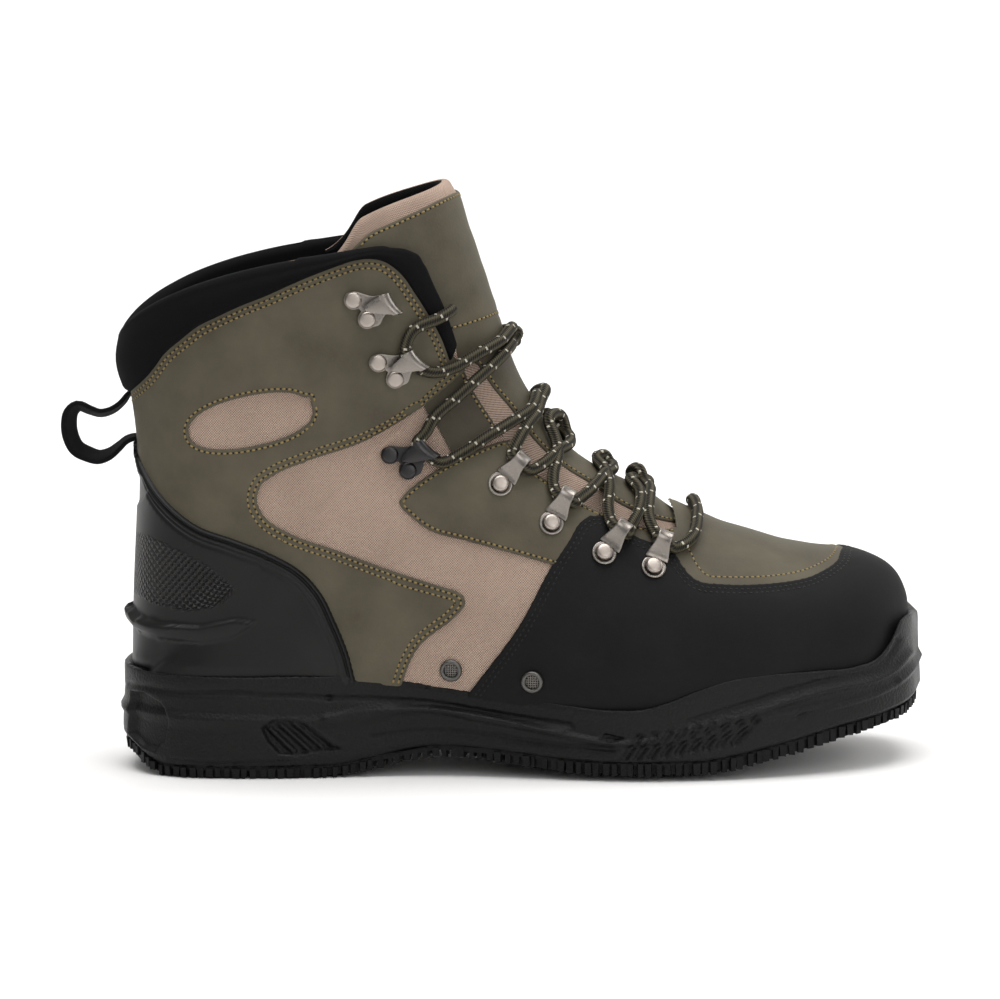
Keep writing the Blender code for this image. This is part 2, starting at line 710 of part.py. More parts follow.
def above_rim(start, end, count):
    """Points a little above the midsole's rim, between two shares of upper_length."""
    x = np.linspace(start, end, count) * upper_length
    forward = rim_slack * blend((x - 0.60 * upper_length) / (0.15 * upper_length))
    return list(zip(x, rim_height(x + forward) + rim_gap))


def shifted(line, dx, dz):
    return [(x + dx, z + dz) for x, z in line]


def side_prism(name, outline, reach, collection):
    """A closed outline in the side view carried across the boot between two places on Y."""
    work = bmesh.new()
    corners = [work.verts.new((x, reach[0], z)) for x, z in outline]
    face = work.faces.new(corners)
    made = bmesh.ops.extrude_face_region(work, geom=[face])["geom"]
    for item in made:
        if isinstance(item, bmesh.types.BMVert):
            item.co.y = reach[1]
    face_outward(work)
    mesh = bpy.data.meshes.new(name)
    work.to_mesh(mesh)
    work.free()
    obj = add_object(name, mesh, None, collection)
    hide_helper(obj)
    return obj


def shell(name, rows, sides, thickness, last_step, material, collection, inner=fit_gap):
    """A skin of even thickness just outside the upper."""
    surface = upper_surface(name, *rows, inner, sides, last_step)
    obj = add_object(name, surface, material, collection)
    thicken(obj, thickness, outward=True)
    return obj


def add_overlays(boot, helpers, rubber, foam, leather):
    whole = (-half_reach, half_reach)
    cuff = shell("collar_cuff", (17, 26), (-1, 1), cuff_thickness, side_steps, foam, boot)
    outline = [(far_back, cuff_line[0][1]), *cuff_line, (0.281, 0.765), (0.330, 0.765)]
    outline += [(0.330, far_up), (far_back, far_up)]
    cut(cuff, side_prism("cuff_outline", in_metres(outline), whole, helpers), "INTERSECT")

    counter = shell("heel_counter", (13, 24), (-1, 1), counter_thickness, 5, rubber, boot)
    back = far_back * upper_length
    line = in_metres([(far_back, 0.640), *counter_line]) + above_rim(0.156, -0.14, 5)
    line.append((back, line[-1][1]))
    cut(counter, side_prism("counter_outline", line, whole, helpers), "INTERSECT")
    buried = fit_gap + counter_thickness / 2
    stands = counter_ledge - counter_thickness / 2
    ledge = shell("counter_ledge", (14, 21), (-1, 1), stands, 5, rubber, helpers, buried)
    cut(ledge, side_prism("ledge_outline", in_metres(ledge_line), whole, helpers), "INTERSECT")
    hide_helper(ledge)
    cut(counter, ledge, "UNION")

    cap = shell("toe_cap", (0, 14), (-1, 1), toe_cap_thickness, side_steps, rubber, boot)
    line = in_metres([*toe_rear_line, *toe_top_line, (0.784, 0.45), (far_front, 0.45)])
    line += above_rim(far_front, 0.300, 24)
    cut(cap, side_prism("toe_outline", line, whole, helpers), "INTERSECT")

    below_cuff = shifted(cuff_line, 0.0, -border_gap)
    behind_window = above_rim(0.218, 0.166, 3)
    before_counter = shifted(counter_line, border_gap, border_gap)[::-1]
    quarter = in_metres(
        [(far_back, below_cuff[0][1]), *below_cuff[:-1], (0.273, 0.758), *window_line]
    )
    quarter += behind_window + in_metres([*before_counter, (far_back, 0.648)])
    turns = np.arange(12) * 2 * pi / 12
    oval = [
        (
            oval_centre[0] * upper_length
            + oval_radii[0] * cos(a) * cos(oval_tilt) - oval_radii[1] * sin(a) * sin(oval_tilt),
            oval_centre[1] * collar_height
            + oval_radii[0] * cos(a) * sin(oval_tilt) + oval_radii[1] * sin(a) * cos(oval_tilt),
        )
        for a in turns
    ]
    oval_cutter = side_prism("oval_outline", oval, whole, helpers)
    for side, word in ((-1, "lateral"), (1, "medial")):
        reach = (side * half_reach, side * fit_gap)
        panel = shell(f"quarter_{word}", (12, 26), (side,), leather_thickness, side_steps, leather, boot)
        cut(panel, side_prism(f"quarter_outline_{word}", quarter, reach, helpers), "INTERSECT")
        cut(panel, oval_cutter, "DIFFERENCE")
        for name, line, rows in (("wing", wing_line, (9, 15)), ("eyestay", eyestay_line, (13, 18))):
            piece = shell(f"{name}_{word}", rows, (side,), leather_thickness, side_steps, leather, boot)
            cutter = side_prism(f"{name}_outline_{word}", in_metres(line), reach, helpers)
            cut(piece, cutter, "INTERSECT")


# Webbing, metal and lace

# The pull loop in the side view, from under the cuff round to the counter's top:
# x and z from the heel's back at the counter's top, as shares of loop_reach
loop_reach = 0.0245
loop_root = (-0.1252 * upper_length, 0.6405 * collar_height)
loop_path = (
    (-0.125, 0.62), (-0.145, 0.47), (-0.27, 0.33), (-0.45, 0.26), (-0.60, 0.27),
    (-0.74, 0.34), (-0.87, 0.38), (-0.97, 0.30), (-1.00, 0.14), (-0.98, -0.10),
    (-0.89, -0.28), (-0.72, -0.41), (-0.50, -0.45), (-0.32, -0.42), (-0.17, -0.30),
    (-0.10, -0.14), (-0.06, 0.02),
)


def curve_object(name, points, material, collection):
    """A smooth run of short straights through the points, as one open POLY spline."""
    curve = bpy.data.curves.new(name, "CURVE")
    curve.dimensions = "3D"
    spline = curve.splines.new("POLY")
    spline.points.add(len(points) - 1)
    for point, place in zip(spline.points, points):
        point.co = (*place, 1)
    obj = bpy.data.objects.new(name, curve)
    collection.objects.link(obj)
    curve.materials.append(material)
    return obj


def pull_loop(name, collection, material):
    """A strap bent round a path in the side view: a strip across Y with a wall."""
    path = np.array(loop_path) * loop_reach + np.array(loop_root)
    half = loop_strap_width / 2
    points = [(x, y, z) for x, z in path for y in (-half, half)]
    mesh = mesh_from_grid(name, points, grid_faces(len(path), 2))
    obj = add_object(name, mesh, material, collection)
    thicken(obj, loop_strap_thickness, outward=True)
    obj.modifiers["wall"].offset = 0


# A hook or loop is a metal strip: base from the rivets to the bend, then an arc that holds the lace.
# along and half_width in metres from the rivets' middle
StripStep = namedtuple("StripStep", "along half_width")
hook_base = (
    StripStep(-0.0046, 0.0060), StripStep(-0.0028, 0.0082), StripStep(0.0024, 0.0082),
    StripStep(0.0080, 0.0044),
)
loop_base = (
    StripStep(-0.0050, 0.0030), StripStep(0.0000, 0.0052), StripStep(0.0052, 0.0024),
    StripStep(0.0074, 0.0022),
)
hook_turn = radians(225)
loop_turn = radians(250)
hook_rivets = 0.0047


def strip(name, base, arc, turn, material, collection):
    end = base[-1]
    rows = [(step.along, 0.0, step.half_width) for step in base]
    for angle in np.linspace(0, turn, 5)[1:]:
        rows.append((end.along + arc * sin(angle), arc * (1 - cos(angle)), end.half_width))
    points = [(x, y * half, z) for x, z, half in rows for y in (-1, 1)]
    mesh = mesh_from_grid(name, points, grid_faces(len(rows), 2, turn=True))
    obj = add_object(name, mesh, material, collection)
    thicken(obj, plate_thickness, outward=True)
    return obj


def turned(name, profile, segments, material, collection):
    """A profile of (radius, height) turned about Z, closed where it meets the axis."""
    points, faces = [], []
    for radius, height in profile:
        for k in range(segments):
            angle = 2 * pi * k / segments
            points.append((radius * cos(angle), radius * sin(angle), height))
    for i in range(len(profile) - 1):
        for k in range(segments):
            a, b = i * segments + k, i * segments + (k + 1) % segments
            faces.append((a, b, segments + b, segments + a))
    work = bmesh.new()
    work.from_mesh(mesh_from_grid(name, points, faces, weld=1e-5))
    face_outward(work)
    mesh = bpy.data.meshes.new(name)
    work.to_mesh(mesh)
    work.free()
    return add_object(name, mesh, material, collection)


def surface_frame(place, toward, side, seat):
    """Axes on the upper at a (row, step): X to another place, Z outward, origin a seat above it."""
    origin = upper_point(*place, side)
    out = upper_normal(*place, side)
    ahead = upper_point(*toward, side) - origin
    ahead = ahead - out * np.dot(ahead, out)
    ahead = ahead / np.linalg.norm(ahead)
    origin = origin + out * seat
    return Matrix(
        [[*row, value] for row, value in zip(np.stack([ahead, np.cross(out, ahead), out], 1), origin)]
        + [[0, 0, 0, 1]]
    )


# Where each fastener sits: (row, step) of its rivets' middle and of its lace end, and its underlay
Fastener = namedtuple("Fastener", "name place toward underlay")
hooks = (
    Fastener("hook_top", (23.5, 0.54), (23.4, 0.60), leather_thickness),
    Fastener("hook_middle", (20.8, 0.58), (20.5, 0.64), leather_thickness),
    Fastener("hook_low", (15.4, 0.53), (15.0, 0.58), 0.0),
)
eye_loops = (
    Fastener("loop_top", (12.6, 0.59), (12.1, 0.69), leather_thickness),
    Fastener("loop_upper", (11.0, 0.59), (10.6, 0.70), leather_thickness),
    Fastener("loop_lower", (9.8, 0.59), (9.4, 0.70), toe_cap_thickness),
    Fastener("loop_low", (8.9, 0.60), (8.5, 0.72), toe_cap_thickness),
)
vents = (
    Fastener("vent_rear", (12.5, 0.19), (12.5, 0.30), 0.0),
    Fastener("vent_front", (11.2, 0.20), (11.2, 0.30), toe_cap_thickness),
)
seat_slack = 0.0004


def rivet_profile():
    radius = rivet_diameter / 2
    return ((0, 0), (radius, 0), (0.6 * radius, rivet_height), (0, rivet_height))


def add_hardware(boot, steel):
    for side, word in ((-1, "lateral"), (1, "medial")):
        for item in hooks + eye_loops:
            hook = item in hooks
            seat = fit_gap + item.underlay + seat_slack
            frame = surface_frame(item.place, item.toward, side, seat)
            if hook:
                piece = strip(f"{item.name}_{word}", hook_base, hook_arc, hook_turn, steel, boot)
            else:
                piece = strip(f"{item.name}_{word}", loop_base, loop_arc, loop_turn, steel, boot)
            piece.matrix_world = frame
            for k, across in enumerate((-hook_rivets, hook_rivets) if hook else (0.0,)):
                rivet = turned(f"rivet_{item.name}_{word}_{k + 1}", rivet_profile(), 6, steel, boot)
                lift = Matrix.Translation((0, across, plate_thickness + fit_gap))
                rivet.matrix_world = frame @ lift
        for item in vents:
            inner, outer = vent_hole / 2, vent_diameter / 2
            profile = ((outer, 0), (outer, vent_thickness), (inner, vent_thickness), (inner, 0), (outer, 0))
            ring = turned(f"{item.name}_{word}", profile, 8, steel, boot)
            seat = fit_gap + item.underlay + seat_slack
            ring.matrix_world = surface_frame(item.place, item.toward, side, seat)


# Where the lace leaves each pair of fasteners, from the toe up: (row, step) on both sides
lace_rows = ((8.4, 0.80), (9.4, 0.79), (10.6, 0.79), (12.1, 0.79), (15.0, 0.71), (20.4, 0.79))
lace_gap = 0.35
# Height of the lace's middle line over the last, at the fasteners and over the tongue
lace_lift = 0.0049
lace_rest = 0.0030
# The end of the lace: (row, step), and its height over the last as a share of lace_diameter
lace_end_path = (
    (20.9, 0.70, 1.20), (21.6, 0.69, 1.20), (22.1, 0.71, 1.20), (22.0, 0.745, 1.22),
    (21.4, 0.785, 1.00),
)


def lace_path(start, end, first_side, count=6):
    """Places from a fastener on one side, over the tongue's middle, to one on the other side."""
    share = np.linspace(0, 1, count)
    row = start[0] + (end[0] - start[0]) * share
    near = share < 0.5
    edge = np.where(near, start[1], end[1])
    step = edge + (1 - edge) * np.sin(pi * np.minimum(share, 1 - share))
    side = np.where(near, first_side, -first_side)
    lift = lace_rest + (lace_lift - lace_rest) * (1 - np.sin(pi * share))
    return upper_point(row, step, side) + lift[:, None] * upper_normal(row, step, side)


def lace_tube(name, points, material, collection):
    obj = curve_object(name, points, material, collection)
    obj.data.bevel_depth = lace_diameter / 2
    obj.data.bevel_resolution = 1
    obj.data.use_fill_caps = True
    return obj


def as_mesh(obj, collection):
    """The curve's tube as a mesh with welded caps, in the curve's place."""
    graph = bpy.context.evaluated_depsgraph_get()
    mesh = bpy.data.meshes.new_from_object(obj.evaluated_get(graph), depsgraph=graph)
    work = bmesh.new()
    work.from_mesh(mesh)
    bmesh.ops.remove_doubles(work, verts=work.verts, dist=1e-5)
    face_outward(work)
    work.to_mesh(mesh)
    work.free()
    name, matrix = obj.name, obj.matrix_world.copy()
    bpy.data.objects.remove(obj, do_unlink=True)
    made = bpy.data.objects.new(name, mesh)
    made.matrix_world = matrix
    collection.objects.link(made)
    return made


def add_laces(boot, helpers, material):
    lowest = lace_rows[0]
    for k, (start, end) in enumerate(zip(lace_rows, lace_rows[1:])):
        low, high = (start[0] + (lace_gap if k else 0), start[1]), (end[0] - lace_gap, end[1])
        crossing = f"lace_cross_{k + 1}"
        tube = lace_tube(crossing, lace_path(low, high, -1), material, boot)
        tube = as_mesh(tube, boot)
        joined = [lace_tube(f"lace_half_{k + 1}", lace_path(low, high, 1), material, helpers)]
        if k == 0:
            bar = lace_path(lowest, lowest, -1)
            joined.append(lace_tube("lace_bar", bar, material, helpers))
        for other in joined:
            other = as_mesh(other, helpers)
            hide_helper(other)
            cut(tube, other, "UNION")
        tube.name = crossing
    for side, word in ((-1, "lateral"), (1, "medial")):
        row, step, lift = np.array(lace_end_path).T
        height = (lift * lace_diameter)[:, None] * upper_normal(row, step, side)
        lace_tube(f"lace_end_{word}", upper_point(row, step, side) + height, material, boot)


def main():
    for obj in list(bpy.data.objects):
        bpy.data.objects.remove(obj, do_unlink=True)
    boot = bpy.data.collections.new("wading_boot")
    helpers = bpy.data.collections.new("cutters")
    bpy.context.scene.collection.children.link(boot)
    bpy.context.scene.collection.children.link(helpers)

    black_rubber = new_material("black rubber", (0.012, 0.012, 0.013), 0.6, 0)
    canvas = new_material("beige woven nylon", (0.48, 0.35, 0.27), 0.8, 0)
    olive = new_material("olive leather", (0.106, 0.100, 0.070), 0.6, 0)
    foam = new_material("black foam", (0.03, 0.03, 0.03), 0.9, 0)
    steel = new_material("brushed steel", (0.5, 0.48, 0.45), 0.35, 1)
    webbing = new_material("black webbing", (0.02, 0.02, 0.02), 0.85, 0)

    upper = add_object("upper", upper_surface("upper", 0, collar_row, 0.0), canvas, boot)
    thicken(upper, wall, outward=False)
    midsole = midsole_block("midsole", boot, black_rubber)
    cut(midsole, filled_last("last_outside", fit_gap, helpers), "DIFFERENCE")
    outsole_tread("outsole", boot, black_rubber)
    insole_plate("insole", boot, foam)
    tongue = add_object("tongue", tongue_surface("tongue"), olive, boot)
    thicken(tongue, tongue_thickness, outward=False)

    add_overlays(boot, helpers, black_rubber, foam, olive)
    pull_loop("pull_loop", boot, webbing)
    add_hardware(boot, steel)
    add_laces(boot, helpers, webbing)


main()
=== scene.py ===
import bmesh
import bpy
import numpy as np
from mathutils import Matrix, Vector
from mathutils.geometry import delaunay_2d_cdt
from mathutils.kdtree import KDTree


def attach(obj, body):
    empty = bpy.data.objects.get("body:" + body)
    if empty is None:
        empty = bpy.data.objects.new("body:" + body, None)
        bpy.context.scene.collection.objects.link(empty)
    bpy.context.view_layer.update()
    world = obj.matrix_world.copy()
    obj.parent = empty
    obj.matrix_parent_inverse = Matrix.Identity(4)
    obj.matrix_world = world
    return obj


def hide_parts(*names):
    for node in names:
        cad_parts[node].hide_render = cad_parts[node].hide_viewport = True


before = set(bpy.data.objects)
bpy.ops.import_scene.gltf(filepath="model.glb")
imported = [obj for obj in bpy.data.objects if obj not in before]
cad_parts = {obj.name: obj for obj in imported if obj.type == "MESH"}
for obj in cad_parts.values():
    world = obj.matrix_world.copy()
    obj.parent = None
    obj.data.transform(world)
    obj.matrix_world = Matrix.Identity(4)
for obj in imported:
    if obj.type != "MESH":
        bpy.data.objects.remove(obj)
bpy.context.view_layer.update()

mm = 0.001

# The camera of the photograph: from the outer side, a little above, turned about its line of sight
cameraView = dict(target=(0.1062, 0.0, 0.1051), elevation=8.0, roll=0.6, distance=2.2, lens=198.0)
frameWidth, frameHeight = 1000, 999
sensor = 36.0


def cameraAxes(view):
    # right, up and back of the camera, and its place; azimuth 0 looks along +Y
    rise, turn = np.radians(view["elevation"]), np.radians(view["roll"])
    back = np.array([0.0, -np.cos(rise), np.sin(rise)])
    right = np.array([1.0, 0.0, 0.0])
    up = np.cross(back, right)
    right, up = np.cos(turn) * right - np.sin(turn) * up, np.sin(turn) * right + np.cos(turn) * up
    return right, up, back, np.array(view["target"]) + view["distance"] * back


def addCamera(view):
    right, up, back, place = cameraAxes(view)
    data = bpy.data.cameras.new("photoCamera")
    data.lens = view["lens"]
    data.sensor_width = sensor
    data.sensor_fit = "HORIZONTAL"
    data.clip_end = 50.0
    camera = bpy.data.objects.new("photoCamera", data)
    bpy.context.scene.collection.objects.link(camera)
    matrix = np.eye(4)
    matrix[:3] = np.stack([right, up, back, place], 1)
    camera.matrix_world = Matrix(matrix.tolist())
    bpy.context.scene.camera = camera


def photoPixels(points):
    # where the camera sees these points, in the photograph's pixels: offset over depth times focal length
    right, up, back, place = cameraAxes(cameraView)
    away = np.asarray(points) - place
    scale = cameraView["lens"] / sensor * frameWidth / -(away @ back)
    return frameWidth / 2 + away @ right * scale, frameHeight / 2 - away @ up * scale


addCamera(cameraView)
print("camera set")


# The last: the shape that every skin of the upper is laid on

last = dict(length=0.310, height=0.210, ball=0.104, bow=0.0131, bowShape=0.55, wall=0.0022, collarRow=26,
        seamRow=18)
lastColumns = "lowX lowZ topX topZ lateral medial feather widest edge bow centre".split()
lastSections = np.array([
    (0.866, 0.190, 0.866, 0.270, 0.000, 0.000, 0.90, 0.40, 1.000, 0.0, 0.070),
    (0.863, 0.180, 0.862, 0.310, 0.112, 0.112, 0.90, 0.40, 1.000, 0.0, 0.068),
    (0.853, 0.170, 0.850, 0.346, 0.200, 0.196, 0.90, 0.38, 1.000, 0.0, 0.064),
    (0.832, 0.155, 0.828, 0.371, 0.288, 0.280, 0.90, 0.36, 1.000, 0.0, 0.058),
    (0.798, 0.140, 0.790, 0.391, 0.366, 0.358, 0.90, 0.34, 1.000, 0.0, 0.050),
    (0.748, 0.126, 0.738, 0.401, 0.428, 0.420, 0.90, 0.32, 1.000, 0.0, 0.038),
    (0.684, 0.112, 0.672, 0.427, 0.485, 0.475, 0.90, 0.30, 1.000, 0.0, 0.022),
    (0.613, 0.102, 0.606, 0.463, 0.505, 0.500, 0.90, 0.28, 1.000, 0.0, 0.008),
    (0.577, 0.099, 0.566, 0.490, 0.507, 0.500, 0.90, 0.28, 0.915, 0.0, 0.002),
    (0.540, 0.098, 0.526, 0.518, 0.505, 0.490, 0.90, 0.28, 0.862, 0.0, -0.004),
    (0.468, 0.099, 0.456, 0.571, 0.480, 0.460, 0.89, 0.29, 0.849, 0.0, -0.010),
    (0.394, 0.105, 0.412, 0.628, 0.445, 0.420, 0.88, 0.31, 0.842, 0.0, -0.012),
    (0.310, 0.116, 0.389, 0.683, 0.410, 0.385, 0.87, 0.33, 0.827, 0.0, -0.010),
    (0.210, 0.131, 0.370, 0.731, 0.385, 0.370, 0.87, 0.36, 0.850, 0.0, -0.006),
    (0.097, 0.141, 0.357, 0.776, 0.368, 0.360, 0.90, 0.40, 0.868, 0.0, 0.000),
    (-0.016, 0.146, 0.350, 0.812, 0.360, 0.356, 0.92, 0.44, 0.881, 0.0, 0.000),
    (-0.087, 0.149, 0.346, 0.833, 0.357, 0.355, 0.78, 0.46, 0.892, 0.0, 0.000),
    (-0.120, 0.152, 0.343, 0.847, 0.357, 0.355, 0.42, 0.47, 0.895, 0.0, 0.000),
    (-0.128, 0.166, 0.340, 0.858, 0.358, 0.357, 0.00, 0.48, 0.895, 0.0, 0.000),
    (-0.129, 0.240, 0.337, 0.876, 0.362, 0.361, 0.00, 0.49, 0.895, 0.0, 0.000),
    (-0.127, 0.335, 0.333, 0.893, 0.365, 0.365, 0.00, 0.50, 0.894, 0.05, 0.000),
    (-0.123, 0.435, 0.329, 0.912, 0.367, 0.367, 0.00, 0.50, 0.893, 0.14, 0.000),
    (-0.119, 0.530, 0.325, 0.932, 0.368, 0.368, 0.00, 0.50, 0.888, 0.30, 0.000),
    (-0.119, 0.620, 0.320, 0.953, 0.369, 0.369, 0.00, 0.50, 0.878, 0.52, 0.000),
    (-0.125, 0.705, 0.315, 0.977, 0.369, 0.369, 0.00, 0.50, 0.865, 0.74, 0.000),
    (-0.133, 0.775, 0.310, 1.000, 0.368, 0.368, 0.00, 0.50, 0.845, 0.90, 0.000),
    (-0.134, 0.829, 0.304, 1.025, 0.366, 0.366, 0.00, 0.50, 0.800, 1.00, 0.000),
    (-0.131, 0.870, 0.294, 1.078, 0.363, 0.363, 0.00, 0.50, 0.800, 1.00, 0.000),
    (-0.128, 0.905, 0.285, 1.105, 0.360, 0.360, 0.00, 0.50, 0.800, 1.00, 0.000),
])
lastTable = dict(zip(lastColumns, lastSections.T))
lastRow = len(lastSections) - 1
roundRows = np.array([0.0, 5, 8, 12, 16, 18, 28])
roundHigh = np.array([2.3, 2.1, 1.85, 1.90, 2.2, 2.3, 2.4])
roundLow = np.array([2.1, 2.1, 2.1, 2.1, 2.15, 2.6, 2.5])


def smoothThrough(key, value, at):
    # cubic through the points, whose slope at each is that of its two neighbours
    at = np.clip(np.asarray(at, float), key[0], key[-1])
    slope = np.gradient(value, key)
    k = np.clip(np.searchsorted(key, at, "right") - 1, 0, len(key) - 2)
    width = key[k + 1] - key[k]
    u = (at - key[k]) / width
    start = (1 + 2 * u) * (1 - u) ** 2 * value[k] + u * (1 - u) ** 2 * width * slope[k]
    return start + u**2 * (3 - 2 * u) * value[k + 1] + u**2 * (u - 1) * width * slope[k + 1]


def section(column, row):
    return smoothThrough(np.arange(lastRow + 1.0), lastTable[column], row)


def soft(value):
    value = np.clip(value, 0, 1)
    return value * value * (3 - 2 * value)


def widestStep(row):
    return 0.30 + 0.15 * np.clip((np.asarray(row, float) - 12) / 6, 0, 1)


def lastSurface(row, step, side):
    # a ring leans from its low to its top end; below the widest place it is a quarter of a rounded
    # ellipse from the feather edge, above it a quarter of a squarer one up to the ridge
    row, step, side = np.broadcast_arrays(np.asarray(row, float), np.asarray(step, float),
            np.asarray(side, float))
    widest, turn = section("widest", row), widestStep(row)
    half = last["ball"] * np.maximum(np.where(side < 0, section("lateral", row), section("medial", row)), 0)
    feather = np.clip(section("feather", row), 0, 1)
    high, low = smoothThrough(roundRows, roundHigh, row), smoothThrough(roundRows, roundLow, row)
    lowAngle = (1 - np.clip(step / turn, 0, 1)) * np.pi / 2
    topAngle = np.clip((step - turn) / (1 - turn), 0, 1) * np.pi / 2
    below = step < turn
    height = np.where(below, widest * (1 - np.sin(lowAngle) ** (2 / low)),
            widest + (1 - widest) * np.sin(topAngle) ** (2 / high))
    width = np.where(below, feather + (1 - feather) * np.cos(lowAngle) ** (2 / low),
            np.where(step >= 1, 0, np.maximum(np.cos(topAngle), 0) ** (2 / high)))
    lowX, lowZ = last["length"] * section("lowX", row), last["height"] * section("lowZ", row)
    topX, topZ = last["length"] * section("topX", row), last["height"] * section("topZ", row)
    bow = last["bow"] * section("bow", row)
    return np.stack([
        lowX + (topX - lowX) * height,
        side * half * width + last["ball"] * section("centre", row),
        lowZ + (topZ - lowZ) * height + bow * np.sin(np.pi * height ** last["bowShape"]),
    ], -1)


def lastNormal(row, step, side):
    # cross product of the two directions along the surface
    near = 0.02
    row, step, side = np.broadcast_arrays(np.asarray(row, float), np.asarray(step, float),
            np.asarray(side, float))
    ahead = lastSurface(np.minimum(row + near, lastRow), step, side)
    behind = lastSurface(np.maximum(row - near, 0), step, side)
    above = lastSurface(row, np.minimum(step + near, 1), side)
    under = lastSurface(row, np.maximum(step - near, 0), side)
    out = np.cross(ahead - behind, above - under) * side[..., None]
    out[..., 1] = np.where(((step <= 0) & (row >= last["seamRow"])) | (step >= 1), 0, out[..., 1])
    size = np.linalg.norm(out, axis=-1, keepdims=True)
    out = np.where(size > 1e-12, out / np.maximum(size, 1e-12), [1, 0, 0])
    return np.where(row[..., None] <= 0, [1.0, 0.0, 0.0], out)


# Soft troughs and ridges: from and to as (row, step), depth and half width in mm, width in rows; the steps
# count in rows too, 20 to a whole ring
creases = (
    dict(start=(19.6, 0.46), end=(17.6, 0.62), depth=-0.9, width=0.55),
    dict(start=(18.6, 0.44), end=(16.6, 0.60), depth=0.5, width=0.5),
    dict(start=(22.2, 0.36), end=(21.6, 0.56), depth=-0.6, width=0.6),
    dict(start=(15.2, 0.22), end=(14.8, 0.42), depth=-0.7, width=0.5),
    dict(start=(11.6, 0.22), end=(11.0, 0.50), depth=-0.6, width=0.45),
    dict(start=(10.2, 0.30), end=(9.6, 0.58), depth=-0.7, width=0.4),
    dict(start=(8.3, 0.34), end=(7.6, 0.66), depth=-0.6, width=0.35),
    dict(start=(6.9, 0.62), end=(6.6, 1.00), depth=-0.5, width=0.3),
    dict(start=(5.7, 0.60), end=(5.5, 1.00), depth=-0.35, width=0.3),
)


def creaseHeight(row, step):
    # each is a bell across its own line, with round ends
    total = 0
    for crease in creases:
        (r0, s0), (r1, s1) = crease["start"], crease["end"]
        dr, ds = r1 - r0, 20 * (s1 - s0)
        along = np.clip(((row - r0) * dr + 20 * (step - s0) * ds) / (dr * dr + ds * ds), 0, 1)
        away = (row - r0 - along * dr) ** 2 + (20 * (step - s0) - along * ds) ** 2
        total = total + crease["depth"] * mm * np.exp(-away / crease["width"] ** 2)
    return total


def lifted(row, step, side, lift):
    height = np.asarray(lift) + creaseHeight(row, step)
    return lastSurface(row, step, side) + height[..., None] * lastNormal(row, step, side)


def heelSkin(row, around, lift):
    # around is minus the step on the outer side and plus the step on the inner one: 0 is the back seam
    return lifted(row, np.abs(around), np.where(around <= 0, -1, 1), lift)


def toeSkin(row, around, lift):
    # around is 1 less the step, minus on the outer side: 0 is the ridge
    return lifted(row, 1 - np.abs(around), np.where(around <= 0, -1, 1), lift)


def throatStep(row, share=None):
    # the step at which the throat opens
    share = section("edge", row) if share is None else share
    widest = section("widest", row)
    above = np.clip((share - widest) / (1 - widest), 0, 1)
    angle = np.arcsin(above ** (smoothThrough(roundRows, roundHigh, row) / 2))
    return widestStep(row) + (1 - widestStep(row)) * angle / (np.pi / 2)


def makeChart(surface, rows, steps):
    # a net of points of a surface and where the camera sees them, for those that face it
    row, step = np.meshgrid(rows, steps, indexing="ij")
    points = surface(row, step)
    ahead, over = np.gradient(points, axis=0), np.gradient(points, axis=1)
    facing = np.cross(over, ahead) @ cameraAxes(cameraView)[2]
    facing = facing > -0.02 * np.linalg.norm(np.cross(over, ahead), axis=-1)
    return dict(surface=surface, row=row, step=step, pixels=photoPixels(points), facing=facing,
            low=(rows[0], steps[0]), high=(rows[-1], steps[-1]))


def onSurface(chart, pixels):
    # nearest net point that faces the camera, then two steps of linear solving
    pixels = np.asarray(pixels, float)
    netU, netV = chart["pixels"]
    away = (netU[None] - pixels[:, 0, None, None]) ** 2 + (netV[None] - pixels[:, 1, None, None]) ** 2
    away = np.where(chart["facing"][None], away, 1e12).reshape(len(pixels), -1)
    nearest = np.argmin(away, axis=1)
    at = np.stack([chart["row"].ravel()[nearest], chart["step"].ravel()[nearest]], -1)
    low, high, small = np.array(chart["low"]), np.array(chart["high"]), 0.01
    for _ in range(2):
        u0, v0 = photoPixels(chart["surface"](at[:, 0], at[:, 1]))
        ur, vr = photoPixels(chart["surface"](at[:, 0] + small, at[:, 1]))
        us, vs = photoPixels(chart["surface"](at[:, 0], at[:, 1] + small))
        a, b, c, d = (ur - u0) / small, (us - u0) / small, (vr - v0) / small, (vs - v0) / small
        size = a * d - b * c
        ok = np.abs(size) > 30
        size = np.where(ok, size, 1)
        du, dv = pixels[:, 0] - u0, pixels[:, 1] - v0
        move = np.stack([np.clip((d * du - b * dv) / size, -0.2, 0.2),
                np.clip((a * dv - c * du) / size, -0.02, 0.02)], -1)
        at = np.clip(at + np.where(ok[:, None], move, 0), low, high)
    return at


lastChart = makeChart(lambda row, step: lastSurface(row, step, -1), np.linspace(0, lastRow, 337),
        np.linspace(0, 1, 121))


def onLast(pixels):
    # (row, step) on the outer side of the last
    return onSurface(lastChart, pixels)


def lengthsAlong(points):
    # the length run up to each point of a line
    return np.concatenate([[0], np.cumsum(np.linalg.norm(np.diff(points, axis=0), axis=1))])


def resample(points, spacing, closed=False):
    # the same line with points at even lengths
    points = np.asarray(points, float)
    if closed:
        points = np.concatenate([points, points[:1]])
    length = lengthsAlong(points)
    count = max(int(round(length[-1] / spacing)), 2)
    at = np.linspace(0, length[-1], count + 1)
    if closed:
        at = at[:-1]
    return np.stack([np.interp(at, length, points[:, k]) for k in range(points.shape[1])], -1)


